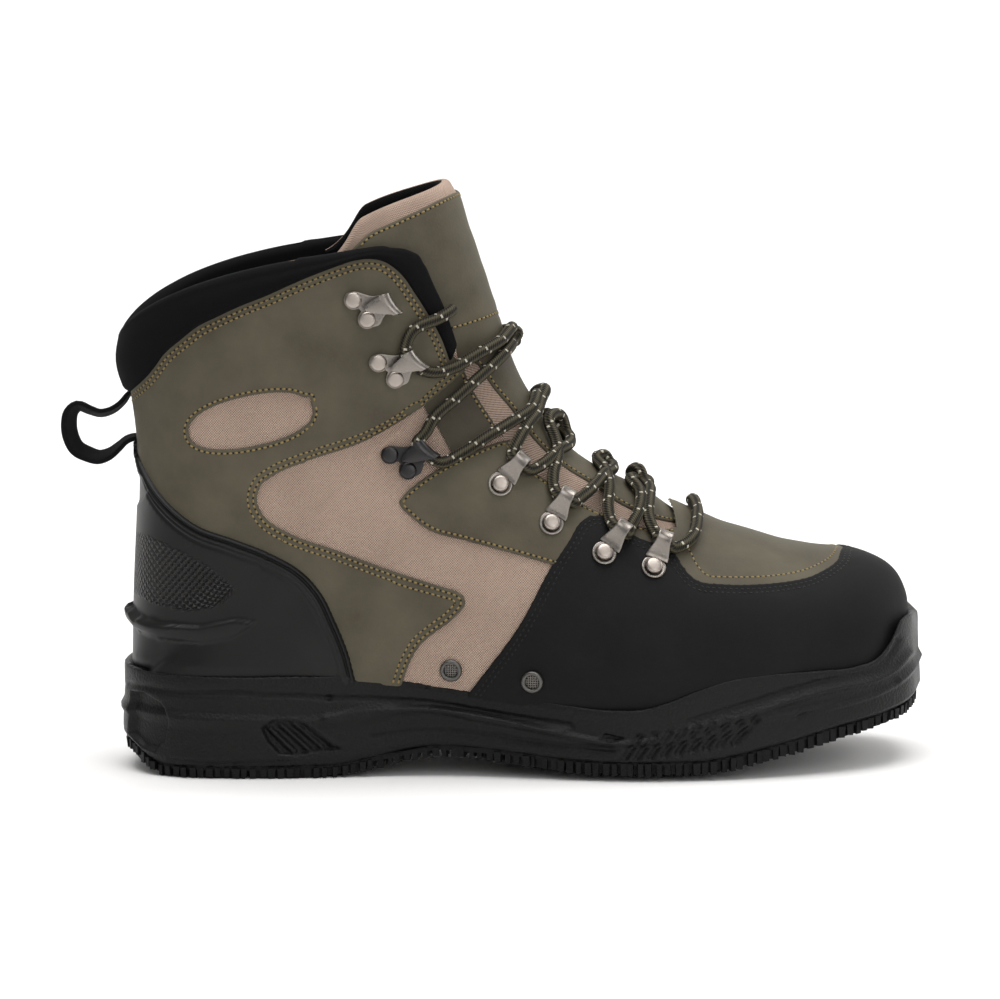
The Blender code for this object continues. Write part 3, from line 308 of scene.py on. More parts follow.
def smoothLine(points, spacing):
    # cubic through given points, at even lengths
    points = np.asarray(points, float)
    if len(points) == 2:
        return resample(points, spacing)
    length = lengthsAlong(points)
    fine = np.linspace(0, length[-1], max(int(length[-1] / spacing) * 3, 8))
    curve = np.stack([smoothThrough(length, points[:, k], fine) for k in range(points.shape[1])], -1)
    return resample(curve, spacing)


def onLastLine(points, spacing=2.0):
    return onLast(smoothLine(points, spacing))


print("last charted")


# Meshes

def gridFaces(rows, columns, start=0, turn=False, wrapColumns=False):
    # corner numbers of every cell of a grid of points
    i, j = np.meshgrid(np.arange(rows - 1), np.arange(columns if wrapColumns else columns - 1),
            indexing="ij")
    k = (j + 1) % columns
    quads = np.stack([i * columns + j, i * columns + k, (i + 1) * columns + k, (i + 1) * columns + j], -1)
    quads = quads.reshape(-1, 4) + start
    return quads[:, ::-1] if turn else quads


def newMesh(name, points, faces, smooth=True):
    # faces is an array of corner numbers, or a list of such arrays
    groups = [np.asarray(group) for group in (faces if isinstance(faces, list) else [faces]) if len(group)]
    points = np.asarray(points, float).reshape(-1, 3)
    mesh = bpy.data.meshes.new(name)
    mesh.vertices.add(len(points))
    mesh.vertices.foreach_set("co", points.astype(np.float32).ravel())
    sizes = np.concatenate([np.full(len(group), group.shape[1]) for group in groups])
    corners = np.concatenate([group.ravel() for group in groups])
    mesh.loops.add(len(corners))
    mesh.loops.foreach_set("vertex_index", corners.astype(np.int32))
    mesh.polygons.add(len(sizes))
    mesh.polygons.foreach_set("loop_start", np.concatenate([[0], np.cumsum(sizes)[:-1]]).astype(np.int32))
    mesh.polygons.foreach_set("use_smooth", np.full(len(sizes), smooth))
    mesh.update(calc_edges=True)
    mesh.validate()
    return mesh


def welded(mesh, distance=1e-5):
    # merges points that coincide
    work = bmesh.new()
    work.from_mesh(mesh)
    bmesh.ops.remove_doubles(work, verts=work.verts, dist=distance)
    work.to_mesh(mesh)
    work.free()
    return mesh


def setUV(mesh, uv):
    # one place on the cloth for each vertex, in metres
    layer = mesh.uv_layers.new(name="cloth")
    corner = np.zeros(len(mesh.loops), np.int32)
    mesh.loops.foreach_get("vertex_index", corner)
    layer.data.foreach_set("uv", np.asarray(uv, np.float32)[corner].ravel())


def setValue(mesh, name, values):
    layer = mesh.attributes.new(name, "FLOAT", "POINT")
    layer.data.foreach_set("value", np.asarray(values, np.float32))


def addPiece(name, mesh, materials, nodes=(), sharp=None):
    piece = bpy.data.objects.new(name, mesh)
    bpy.context.scene.collection.objects.link(piece)
    for material in materials if isinstance(materials, (list, tuple)) else [materials]:
        mesh.materials.append(material)
    if sharp:
        mesh.set_sharp_from_angle(angle=np.radians(sharp))
    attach(piece, "root")
    if nodes:
        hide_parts(*nodes)
    return piece


def nearness(points, lines):
    # distance from each point to the nearest of many line points, and that point's number
    tree = KDTree(len(lines))
    for k, place in enumerate(lines):
        tree.insert(place, k)
    tree.balance()
    found = [tree.find(point) for point in points]
    return np.array([hit[2] for hit in found]), np.array([hit[1] for hit in found])


def insidePolygon(points, polygon):
    # counts the crossings of a ray to the right of each point
    inside = np.zeros(len(points), bool)
    x, y = points[:, 0], points[:, 1]
    for (x0, y0), (x1, y1) in zip(polygon, np.roll(polygon, -1, axis=0)):
        crosses = (y0 > y) != (y1 > y)
        if crosses.any() and y0 != y1:
            inside ^= crosses & (x < (x1 - x0) * (y - y0) / (y1 - y0) + x0)
    return inside


class Cloth:
    # a flat plan of part of a skin: rows and arounds turned into mean lengths on the surface
    def __init__(self, skin, outline):
        self.skin = skin
        low, high = outline.min(0), outline.max(0)
        self.rows = np.linspace(low[0], high[0], 48)
        self.arounds = np.linspace(low[1], high[1], 48)
        grid = skin(self.rows[:, None], self.arounds[None, :], np.zeros((48, 48)))
        self.u = np.concatenate([[0], np.cumsum(np.linalg.norm(np.diff(grid, axis=0), axis=-1).mean(1))])
        self.v = np.concatenate([[0], np.cumsum(np.linalg.norm(np.diff(grid, axis=1), axis=-1).mean(0))])

    def flat(self, places):
        return np.stack([np.interp(places[:, 0], self.rows, self.u),
                np.interp(places[:, 1], self.arounds, self.v)], -1)

    def places(self, flat):
        return np.stack([np.interp(flat[:, 0], self.u, self.rows),
                np.interp(flat[:, 1], self.v, self.arounds)], -1)

    def raised(self, flat, lift):
        at = self.places(flat)
        return self.skin(at[:, 0], at[:, 1], lift)


def inward(flat, closed=True):
    # unit vectors to the left of a line in the plan
    ahead = np.roll(flat, -1, axis=0) - np.roll(flat, 1, axis=0)
    if not closed:
        ahead = np.gradient(flat, axis=0)
    ahead = ahead / np.maximum(np.linalg.norm(ahead, axis=1, keepdims=True), 1e-12)
    return np.stack([-ahead[:, 1], ahead[:, 0]], -1)


def offsetLine(cloth, flat, distance, closed=True, least=0.93):
    # a line moved to its left by a length measured on the surface, without the loops at tight corners
    left = inward(flat, closed)
    here = cloth.raised(flat, np.zeros(len(flat)))
    there = cloth.raised(flat + left * mm, np.zeros(len(flat)))
    reach = abs(distance) / np.clip(np.linalg.norm(there - here, axis=1) / mm, 0.2, 5)
    for _ in range(3):
        moved = flat + left * reach[:, None]
        away, _ = nearness(cloth.raised(moved, np.zeros(len(moved))), here)
        reach = reach * np.clip(abs(distance) / np.maximum(away, 1e-5), 1.0, 1.12)
    moved = flat + left * reach[:, None]
    away, _ = nearness(cloth.raised(moved, np.zeros(len(moved))), here)
    return moved[away > least * abs(distance)]


def panelMesh(name, skin, outline, spacing, lift, rings=(0.12, 0.4, 0.8, 1.3, 2.0, 3.0), free=None,
        holes=()):
    # a sheet cut to a closed outline of (row, around) places: points along the outline, on lines
    # inside it and on a grid, joined into triangles; lift gives each point's height from its
    # distance to the free edge and its place
    outline = np.asarray(outline)
    cloth = Cloth(skin, outline)
    loops = [resample(cloth.flat(loop), 0.9 * mm, closed=True) for loop in [outline, *holes]]
    area = [np.sum(loop[:, 0] * np.roll(loop[:, 1], -1) - loop[:, 1] * np.roll(loop[:, 0],
            -1)) for loop in loops]
    loops = [loop if (size > 0) == (k == 0) else loop[::-1] for k,
            (loop, size) in enumerate(zip(loops, area))]
    rim = np.concatenate(loops)
    lines = [offsetLine(cloth, loop, distance * mm) for loop in loops for distance in rings]
    low, high = rim.min(0), rim.max(0)
    step = spacing * mm
    across = np.arange(low[0] + step / 2, high[0], step)
    along = np.arange(low[1] + step / 2, high[1], step * 0.87)
    fill = np.stack(np.meshgrid(across, along, indexing="ij"), -1)
    fill[:, 1::2, 0] += step / 2
    fill = fill.reshape(-1, 2)
    taken = np.concatenate([rim, *lines])
    flat3 = np.concatenate([taken, np.zeros((len(taken), 1))], 1)
    away, _ = nearness(np.concatenate([fill, np.zeros((len(fill), 1))], 1), flat3)
    extra = np.concatenate([*lines, fill[away > 0.55 * step]])
    inside = insidePolygon(extra, loops[0])
    for hole in loops[1:]:
        inside &= ~insidePolygon(extra, hole)
    flat = np.concatenate([rim, extra[inside]])
    edges, start = [], 0
    for loop in loops:
        edges += [(start + k, start + (k + 1) % len(loop)) for k in range(len(loop))]
        start += len(loop)
    made = delaunay_2d_cdt([Vector(place) for place in flat], edges, [], 1, 1e-7)
    flat = np.array([tuple(place) for place in made[0]])
    faces = np.array([face for face in made[2] if len(face) == 3])
    a, b, c = flat[faces[:, 0]], flat[faces[:, 1]], flat[faces[:, 2]]
    size = (b[:, 0] - a[:, 0]) * (c[:, 1] - a[:, 1]) - (b[:, 1] - a[:, 1]) * (c[:, 0] - a[:, 0])
    middle = (a + b + c) / 3
    keep = (np.abs(size) > 1e-12) & insidePolygon(middle, loops[0])
    for hole in loops[1:]:
        keep &= ~insidePolygon(middle, hole)
    faces = faces[keep]
    ground = cloth.raised(flat, np.zeros(len(flat)))
    freeLine = ground[:0]
    for line in [rim] if free is None else [resample(cloth.flat(np.asarray(edge)),
            0.7 * mm) for edge in free]:
        freeLine = np.concatenate([freeLine, cloth.raised(line, np.zeros(len(line)))])
    distance, _ = nearness(ground, freeLine)
    at = cloth.places(flat)
    points = cloth.raised(flat, lift(distance, at, ground))
    # faces outward: compare one with the skin's own normal
    middle = np.argsort(-distance)[:1][0]
    first = faces[np.any(faces == middle, axis=1)][0]
    p, q, r = points[first]
    out = cloth.raised(flat[middle:middle + 1], np.full(1, 1 * mm))[0] - ground[middle]
    if np.dot(np.cross(q - p, r - p), out) < 0:
        faces = faces[:, ::-1]
    mesh = newMesh(name, points, faces)
    setUV(mesh, flat)
    return mesh, cloth


def rolledEdge(thickness, radius, bury=0.15 * mm, groove=()):
    # height of a folded edge: a quarter round, then level, with soft grooves under stitch rows
    def lift(distance, at, ground):
        share = np.clip(distance / radius, 0, 1)
        height = -bury + (thickness + bury) * np.sqrt(np.maximum(1 - (1 - share) ** 2, 0))
        for place in groove:
            height = height - 0.22 * mm * np.exp(-((distance - place) / (0.55 * mm)) ** 2)
        return height
    return lift


# Materials

def linear(text):
    # sRGB hex to linear light
    value = np.array([int(text[k:k + 2], 16) for k in (1, 3, 5)]) / 255
    return (*np.where(value <= 0.04045, value / 12.92, ((value + 0.055) / 1.055) ** 2.4), 1)


def addNode(tree, kind, settings=None, links=None, output=0):
    # a node with its fields, sockets by name or number, and links from other sockets; gives one output
    node = tree.nodes.new("ShaderNode" + kind)
    for key, value in (settings or {}).items():
        if isinstance(key, int) or key in node.inputs:
            node.inputs[key].default_value = value
        else:
            setattr(node, key, value)
    for key, socket in (links or {}).items():
        tree.links.new(socket, node.inputs[key])
    return node.outputs[output]


def newMaterial(name, colour, roughness, **sockets):
    material = bpy.data.materials.new(name)
    material.use_nodes = True
    tree = material.node_tree
    shader = tree.nodes["Principled BSDF"]
    shader.inputs["Base Color"].default_value = linear(colour)
    shader.inputs["Roughness"].default_value = roughness
    for key, value in sockets.items():
        shader.inputs[key.replace("_", " ")].default_value = value
    return material, tree, shader


def joined(tree, shader, **sockets):
    # links to the shader's sockets, named with _ for a space
    for key, socket in sockets.items():
        tree.links.new(socket, shader.inputs[key.replace("_", " ")])


def layered(tree, colour, *layers):
    # a colour blended in turn towards others, as each source goes from low to high
    tone = None
    for source, low, high, most, toward in layers:
        share = addNode(tree, "MapRange", {1: low, 2: high, 4: most}, {0: source})
        settings = {"data_type": "RGBA", 6: linear(colour), 7: linear(toward)}
        tone = addNode(tree, "Mix", settings, {0: share, 6: tone} if tone else {0: share}, 2)
    return tone


def wave(tree, source, pitch, shift=0.0):
    # sine of a length, one wave for each pitch
    turn = addNode(tree, "Math", {"operation": "MULTIPLY_ADD", 1: 2 * np.pi / pitch, 2: shift}, {0: source})
    return addNode(tree, "Math", dict(operation="SINE"), {0: turn})


def grainLeather(name, base, light, dark, roughness, grain=0.9 * mm, depth=0.10 * mm, gloss=0.2):
    # corrected-grain nubuck, buffed: fine pores, a soft cloudy tone and paler scuffs
    material, tree, shader = newMaterial(name, base, roughness, Specular_IOR_Level=gloss)
    place = dict(Vector=addNode(tree, "TexCoord", output="Object"))
    cloud = addNode(tree, "TexNoise", dict(Scale=28.0, Detail=4.0, Roughness=0.6), place)
    fine = addNode(tree, "TexNoise", dict(Scale=1 / grain, Detail=3.0, Roughness=0.65), place)
    pores = addNode(tree, "TexVoronoi", dict(Scale=0.8 / grain), place)
    tone = layered(tree, dark, (cloud, 0.35, 0.68, 1.0, light), (fine, 0.40, 0.72, 0.35, base))
    rough = addNode(tree, "MapRange", {1: 0.3, 2: 0.7, 3: roughness - 0.06, 4: roughness + 0.08},
            {0: cloud})
    coarse = addNode(tree, "Bump", dict(Distance=depth, Strength=0.35), dict(Height=pores))
    normal = addNode(tree, "Bump", dict(Distance=depth, Strength=0.5), dict(Height=fine, Normal=coarse))
    joined(tree, shader, Base_Color=tone, Roughness=rough, Normal=normal)
    return material


def wovenCloth(name, base, light, dark, pitch, depth, roughness=0.85, gloss=0.2):
    # basket weave on the piece's own cloth map: rows of small raised beads, set on the slant, with painted
    # shade darkening the gaps between and painted highlight on the pale bead tops, which from afar give the
    # cloth its dotted look
    material, tree, shader = newMaterial(name, base, roughness, Specular_IOR_Level=gloss)
    place = dict(Vector=addNode(tree, "TexCoord", output="Object"))
    x, y, _ = addNode(tree, "SeparateXYZ", None, {0: addNode(tree, "UVMap", dict(uv_map="cloth"))},
            slice(3))
    beads = []
    for sign in (1.0, -1.0):
        slant = addNode(tree, "Math", {"operation": "MULTIPLY_ADD", 1: sign * 0.9}, {0: y, 2: x})
        beads.append(addNode(tree, "Math", dict(operation="ABSOLUTE"), {0: wave(tree, slant, 2 * pitch)}))
    height = addNode(tree, "Math", dict(operation="MULTIPLY"), {0: beads[0], 1: beads[1]})
    fleck = addNode(tree, "TexNoise", dict(Scale=900.0, Detail=2.0), place)
    cloud = addNode(tree, "TexNoise", dict(Scale=35.0, Detail=3.0), place)
    # bead height sets the tone: painted shade in the gaps, painted highlight on the tops
    tone = layered(tree, dark, (height, 0.05, 0.65, 1.0, light), (fleck, 0.38, 0.66, 0.5, base),
            (cloud, 0.4, 0.75, 0.2, dark))
    normal = addNode(tree, "Bump", dict(Distance=depth, Strength=0.9), dict(Height=height))
    joined(tree, shader, Base_Color=tone, Normal=normal)
    return material


def mouldedRubber(name, base, light, roughness, pebble, depth, gloss=0.5):
    # moulded rubber: a pebbled skin from the etched mould, a little worn to grey in soft cloudy patches
    material, tree, shader = newMaterial(name, base, roughness, Specular_IOR_Level=gloss)
    place = dict(Vector=addNode(tree, "TexCoord", output="Object"))
    cells = addNode(tree, "TexVoronoi", dict(Scale=1 / pebble), place)
    fine = addNode(tree, "TexNoise", dict(Scale=2.2 / pebble, Detail=4.0, Roughness=0.6), place)
    cloud = addNode(tree, "TexNoise", dict(Scale=40.0, Detail=5.0, Roughness=0.65), place)
    tone = layered(tree, base, (cloud, 0.42, 0.78, 0.8, light))
    rough = addNode(tree, "MapRange", {1: 0.3, 2: 0.7, 3: roughness - 0.07, 4: roughness + 0.1}, {0: cloud})
    coarse = addNode(tree, "Bump", dict(Distance=depth, Strength=0.5), dict(Height=cells))
    normal = addNode(tree, "Bump", dict(Distance=depth, Strength=0.5), dict(Height=fine, Normal=coarse))
    joined(tree, shader, Base_Color=tone, Roughness=rough, Normal=normal)
    return material


def stampedMetal(name, base, roughness, scratch=0.05 * mm):
    # stamped plated steel: satin, with fine tumbling marks
    material, tree, shader = newMaterial(name, base, roughness, Metallic=1.0)
    place = dict(Vector=addNode(tree, "TexCoord", output="Object"))
    fine = addNode(tree, "TexNoise", dict(Scale=700.0, Detail=3.0), place)
    rough = addNode(tree, "MapRange", {1: 0.3, 2: 0.7, 3: roughness - 0.06, 4: roughness + 0.12}, {0: fine})
    normal = addNode(tree, "Bump", dict(Distance=scratch, Strength=0.25), dict(Height=fine))
    joined(tree, shader, Roughness=rough, Normal=normal)
    return material


def threadMaterial(name, base, light):
    # waxed polyester thread: satin, with fine paler flecks
    material, tree, shader = newMaterial(name, base, 0.55, Specular_IOR_Level=0.3)
    place = dict(Vector=addNode(tree, "TexCoord", output="Object"))
    fine = addNode(tree, "TexNoise", dict(Scale=1500.0, Detail=1.0), place)
    joined(tree, shader, Base_Color=layered(tree, base, (fine, 0.0, 1.0, 1.0, light)))
    return material


def gauzeMaterial(name):
    # fine steel mesh seen in a drain hole: bright wires over black, 0.9 mm apart
    material, tree, shader = newMaterial(name, "#1c1c1b", 0.5, Metallic=0.6)
    place = addNode(tree, "TexCoord", output="Object")
    x, _, z = addNode(tree, "SeparateXYZ", None, {0: place}, slice(3))
    wires = [addNode(tree, "Math", dict(operation="ABSOLUTE"),
            {0: wave(tree, way, 1.8 * mm)}) for way in (x, z)]
    wire = addNode(tree, "Math", dict(operation="MAXIMUM"), {0: wires[0], 1: wires[1]})
    normal = addNode(tree, "Bump", dict(Distance=0.2 * mm, Strength=0.8), dict(Height=wire))
    joined(tree, shader, Base_Color=layered(tree, "#111111", (wire, 0.8, 0.97, 1.0, "#77736e")),
            Normal=normal)
    return material


def braidedLace(name, base, light, dark, fleck):
    # a 32-carrier round braid: fine slanted ribs, lengthwise furrows and white tracer flecks in threes; the
    # colour runs from painted shade in the furrows to painted highlight on the rib crowns
    material, tree, shader = newMaterial(name, base, 0.75, Specular_IOR_Level=0.2)
    uv = addNode(tree, "UVMap", dict(uv_map="cloth"))
    along, around, _ = addNode(tree, "SeparateXYZ", None, {0: uv}, slice(3))
    girth, period = np.pi * 4.7 * mm, 10.5 * mm
    slant = addNode(tree, "Math", {"operation": "MULTIPLY_ADD", 1: 0.5}, {0: around, 2: along})
    ribs, furrows = wave(tree, slant, 1.05 * mm), wave(tree, around, girth / 5)
    height = addNode(tree, "Math", {"operation": "MULTIPLY_ADD", 1: 2.0}, {0: furrows, 2: ribs})
    flecks = None
    for k in range(6):
        # three in a slanting row on each side of the lace
        place = (k % 3 - 1) * 1.5 * mm + (k // 3) * period / 2
        turn = (k % 3 - 1) * 1.05 + (k // 3) * np.pi
        near = []
        for source, pitch, shift, wide in ((along, period, 2 * np.pi * place / period, (0.27, 0.17)),
                (around, girth, turn, (0.36, 0.22))):
            low, high = np.cos(wide)
            near.append(addNode(tree, "MapRange", {1: low, 2: high},
                    {0: wave(tree, source, pitch, np.pi / 2 - shift)}))
        spot = addNode(tree, "Math", dict(operation="MINIMUM"), {0: near[0], 1: near[1]})
        flecks = addNode(tree, "Math", dict(operation="MAXIMUM"), {0: flecks, 1: spot}) if flecks else spot
    # rib and furrow height sets the tone: painted shade low, painted highlight high
    tone = layered(tree, dark, (height, -2.2, 2.2, 1.0, light), (flecks, 0.0, 1.0, 1.0, fleck))
    normal = addNode(tree, "Bump", dict(Distance=0.16 * mm, Strength=0.9), dict(Height=height))
    joined(tree, shader, Base_Color=tone, Normal=normal)
    return material


def counterMaterial(name, base, light, roughness):
    # moulded rubber with a satin skin; on the patch a net of small pyramids, 3 mm apart, their tips painted
    # lighter grey as painted highlight
    material, tree, shader = newMaterial(name, base, roughness, Specular_IOR_Level=0.25)
    place = dict(Vector=addNode(tree, "TexCoord", output="Object"))
    fine = addNode(tree, "TexNoise", dict(Scale=1600.0, Detail=3.0), place)
    cloud = addNode(tree, "TexNoise", dict(Scale=45.0, Detail=4.0), place)
    x, y, _ = addNode(tree, "SeparateXYZ", None, {0: addNode(tree, "UVMap", dict(uv_map="cloth"))},
            slice(3))
    folds = []
    for sign in (1.0, -1.0):
        slant = addNode(tree, "Math", {"operation": "MULTIPLY_ADD", 1: sign}, {0: y, 2: x})
        folds.append(addNode(tree, "Math", {"operation": "PINGPONG", 1: 1.5 * mm}, {0: slant}))
    tip = addNode(tree, "Math", dict(operation="MINIMUM"), {0: folds[0], 1: folds[1]})
    tip = addNode(tree, "MapRange", {2: 1.5 * mm}, {0: tip})
    patch = addNode(tree, "Attribute", dict(attribute_name="patch"), output="Fac")
    net = addNode(tree, "Math", dict(operation="MULTIPLY"), {0: tip, 1: patch})
    # the pyramid tips are painted toward grey: painted highlight
    tone = layered(tree, base, (cloud, 0.4, 0.75, 0.7, light), (net, 0.2, 0.9, 0.35, "#4a4745"))
    coarse = addNode(tree, "Bump", dict(Distance=1.1 * mm, Strength=1.0), dict(Height=net))
    normal = addNode(tree, "Bump", dict(Distance=0.03 * mm, Strength=0.4), dict(Height=fine, Normal=coarse))
    joined(tree, shader, Base_Color=tone, Normal=normal)
    return material


materials = dict(
    olive=grainLeather("oliveNubuck", "#504b3e", "#595445", "#453f33", 0.62),
    # a darker copy of the olive nubuck: painted shade for the eyestays
    oliveShaded=grainLeather("oliveNubuckShaded", "#403b30", "#474235", "#373229", 0.62),
    toe=grainLeather("blackNubuck", "#111011", "#171616", "#0c0c0c", 0.70, 0.7 * mm, 0.08 * mm, 0.15),
    # the woven cloths' pale and dark colours are painted highlight on the bead tops and painted shade in
    # the gaps
    canvas=wovenCloth("beigeWovenNylon", "#b09a89", "#cdb5a4", "#5e4b40", 0.95 * mm, 0.30 * mm),
    cuff=wovenCloth("blackCuffCloth", "#0b0b0c", "#111112", "#070708", 0.55 * mm, 0.08 * mm, 0.9, 0.1),
    lining=wovenCloth("blackMeshLining", "#0c0c0d", "#141415", "#060607", 1.1 * mm, 0.3 * mm, 0.9, 0.1),
    counter=counterMaterial("counterRubber", "#0e0d0d", "#161514", 0.42),
    midsole=mouldedRubber("soleRubber", "#060606", "#0e0e0e", 0.42, 1.1 * mm, 0.36 * mm, 0.22),
    tread=mouldedRubber("treadRubber", "#080809", "#0f0f0f", 0.60, 1.4 * mm, 0.25 * mm, 0.2),
    webbing=wovenCloth("blackWebbing", "#0b0b0c", "#151517", "#0b0b0c", 0.7 * mm, 0.12 * mm, 0.8, 0.1),
    steel=stampedMetal("platedSteel", "#857f79", 0.30),
    rivet=stampedMetal("rivetCap", "#a49b93", 0.36),
    darkSteel=stampedMetal("gunmetal", "#3b3a3a", 0.34),
    vent=stampedMetal("ventRing", "#5f5d5a", 0.40),
    gauze=gauzeMaterial("ventGauze"),
    ochre=threadMaterial("ochreThread", "#75633b", "#8d7a4d"),
    black=threadMaterial("blackThread", "#050504", "#0a0908"),
    # the lace's light and dark colours are painted highlight on the crowns and painted shade in the furrows
    lace=braidedLace("braidedLace", "#322f24", "#4c4738", "#13110c", "#bdb7a8"),
)
print("materials made")


# Edges of the panels on the outer side, in the photograph's pixels

edges = dict(
    cuffLow=((134, 391.5), (150, 376), (166, 354), (183, 339), (199.5, 326), (216, 317.7), (241, 306),
        (266, 296),
        (299, 281), (332, 268), (354, 260.7), (370, 259), (382, 261.3), (393, 268), (402.7, 277.7),
        (412.4, 292), (422, 306.8), (430.6, 321), (439, 337), (447.7, 360)),
    window=((460, 375), (420, 408), (364, 441.6), (305, 462), (276, 474), (261, 485.6), (257, 500),
        (264, 516),
        (288, 532.5), (335, 550), (393, 571), (446, 588)),
    windowTip=((446, 588), (458, 592), (465, 599), (465, 606)),
    windowRear=((465, 606), (452, 620), (434, 633), (420, 645), (410, 662), (402, 684)),
    counter=((136, 440), (148, 468), (167, 498), (199, 525), (234, 538), (274, 554), (301, 570),
        (322.5, 594),
        (336, 621), (349, 653), (356, 680)),
    toeRear=((589, 516), (579, 523), (568, 541), (553, 564), (518, 628), (483, 675), (468, 694)),
    toeTop=((601, 516), (618, 526), (636, 538), (655, 545), (672, 552), (682, 566), (697, 581), (723, 585),
        (773, 584), (817, 575), (838, 560), (842, 548.5)),
    wing=((452, 459), (423, 480), (408, 492), (399, 502), (405, 510.5), (428.5, 529.6), (467, 541),
        (511, 553),
        (552, 565)),
    eyestay=((424, 409), (431, 425), (440, 440), (453, 453)),
)


def edgeLine(name, spacing=2.0):
    return onLastLine(edges[name], spacing)


def heelPlaces(line, side=-1):
    # (row, step) as (row, around) on the heel's wrap
    return np.stack([line[:, 0], side * line[:, 1]], -1)


def toePlaces(line, side=-1):
    return np.stack([line[:, 0], side * (1 - line[:, 1])], -1)


sole = dict(length=0.322, width=0.113, height=0.041, tread=0.0034, base=0.0020, spring=0.0215, arch=0.0075,
        bevel=0.0090, edgeRise=0.0030)
soleX = np.array([-0.1435, -0.1380, -0.1190, -0.0870, -0.0450, 0.0150, 0.0900, 0.1700, 0.2500, 0.3300,
        0.4050,
        0.4800, 0.5450, 0.6100, 0.6700, 0.7250, 0.7750, 0.8150, 0.8400, 0.8535])
soleLateral = np.array([0.000, 0.125, 0.222, 0.296, 0.342, 0.364, 0.364, 0.350, 0.356, 0.396, 0.450, 0.492,
        0.498,
        0.478, 0.444, 0.396, 0.324, 0.232, 0.122, -0.062])
soleMedial = np.array([0.000, 0.125, 0.222, 0.296, 0.338, 0.356, 0.350, 0.332, 0.322, 0.354, 0.412, 0.468,
        0.496,
        0.504, 0.494, 0.468, 0.420, 0.346, 0.250, 0.062])
sideX = np.array([-0.150, -0.090, 0.000, 0.100, 0.165, 0.210, 0.260, 0.330, 0.400, 0.465, 0.500, 0.535,
        0.570,
        0.610, 0.650, 0.720, 0.770, 0.795, 0.812, 0.825, 0.838, 0.860])
sideRim = np.array([1.020, 0.990, 0.975, 0.975, 0.960, 0.920, 0.855, 0.780, 0.715, 0.670, 0.680, 0.755,
        0.860,
        0.950, 0.985, 1.000, 1.010, 1.065, 1.210, 1.400, 1.430, 1.360])
sideRidge = np.array([0.60, 0.60, 0.58, 0.56, 0.60, 0.66, 0.66, 0.58, 0.46, 0.38, 0.38, 0.40, 0.44, 0.50,
        0.57,
        0.66, 0.72, 0.76, 0.80, 0.84, 0.90, 0.98])


def rimHeight(x):
    return sole["height"] * smoothThrough(sideX, sideRim, x / sole["length"])


def rimStep(row, side, below=1.5 * mm):
    # the step at which each ring passes the sole's rim, a little below it
    steps = np.linspace(0, 1, 201)
    grid = lastSurface(np.asarray(row)[:, None], steps[None, :], side)
    above = grid[..., 2] - rimHeight(grid[..., 0]) + below > 0
    found = np.argmax(above, axis=1)
    return np.where(above.any(1), steps[found], 1.0)


# The upper's own wall: woven nylon outside, mesh lining inside

def wallPiece():
    rows, steps = np.linspace(0, last["collarRow"], 210), np.linspace(0, 1, 90)
    points, faces, flats = [], [], []
    underCuff = np.interp(rows, [18.5, 19.3, 20, 21.3, 22.3, 23.6, 24.5, 25.3, 25.8, 26.0],
            [1.0, 0.745, 0.74, 0.725, 0.715, 0.70, 0.685, 0.655, 0.61, 0.55])
    edge = np.minimum(throatStep(rows), underCuff)
    for side in (-1, 1):
        step = edge[:, None] * steps[None, :]
        inside = soft((rimStep(rows, side, 0.0)[:, None] + 0.02 - step) / 0.05)
        grid = lifted(np.broadcast_to(rows[:, None], step.shape), step, side, -1.6 * mm * inside)
        flats.append(grid[..., [0, 2]].reshape(-1, 2))
        faces.append(gridFaces(*step.shape, len(points) * step.size, turn=side > 0))
        points.append(grid.reshape(-1, 3))
    mesh = newMesh("wall", np.concatenate(points), faces)
    setUV(mesh, np.concatenate(flats))
    welded(mesh, 2e-5)
    piece = addPiece("upperWall", mesh, [materials["canvas"], materials["lining"]],
            ["upper"])
    shell = piece.modifiers.new("wall", "SOLIDIFY")
    shell.thickness = last["wall"]
    shell.offset = -1
    shell.use_even_offset = False
    shell.material_offset = 1
    shell.material_offset_rim = 1


wallPiece()
print("wall made")


# Black overlays: toe piece and heel counter

toeCap = dict(thickness=1.7 * mm, edge=1.0 * mm)


def toeCapPiece():
    rear, top = edgeLine("toeRear"), edgeLine("toeTop")
    start = np.array([9.95, rear[0][1] + 0.004])
    front = smoothLine([(4.15, 0.98), (4.1, 1.0)], 0.01)
    upperEdge = np.concatenate([rear[::-1], [start], top[top[:, 0] > 4.3], front])
    lateral = toePlaces(upperEdge)
    medial = toePlaces(upperEdge, 1)[::-1]
    rows = np.linspace(upperEdge[0][0], 0.8, 80)
    lowLateral = np.stack([rows, -(1 - rimStep(rows, -1))], -1)
    lowMedial = np.stack([rows, 1 - rimStep(rows, 1)], -1)
    cut = np.argmax(lowLateral[:, 1] > -0.03) or len(rows)
    low = np.concatenate([lowLateral[:cut], lowMedial[:cut][::-1]])[::-1]
    outline = np.concatenate([lateral, medial[1:], low])
    grooves = (2.4 * mm, 4.0 * mm)
    mesh, cloth = panelMesh("toeCap", toeSkin, outline, 1.7,
            rolledEdge(toeCap["thickness"], toeCap["edge"], groove=grooves),
            free=[lateral, medial])
    addPiece("toeCap", mesh, materials["toe"], ["toe_cap"])
    for side in (-1, 1):
        for distance in (2.4, 4.2):
            pushStitches("black", cloth, outline, toePlaces(upperEdge, side), distance, 1.5)


# Stitches: short beads of thread set in rows along the panels' edges

# the hole row holds short black beads, painted shade in the needle holes
stitchRows = dict(ochre=[], black=[], hole=[])


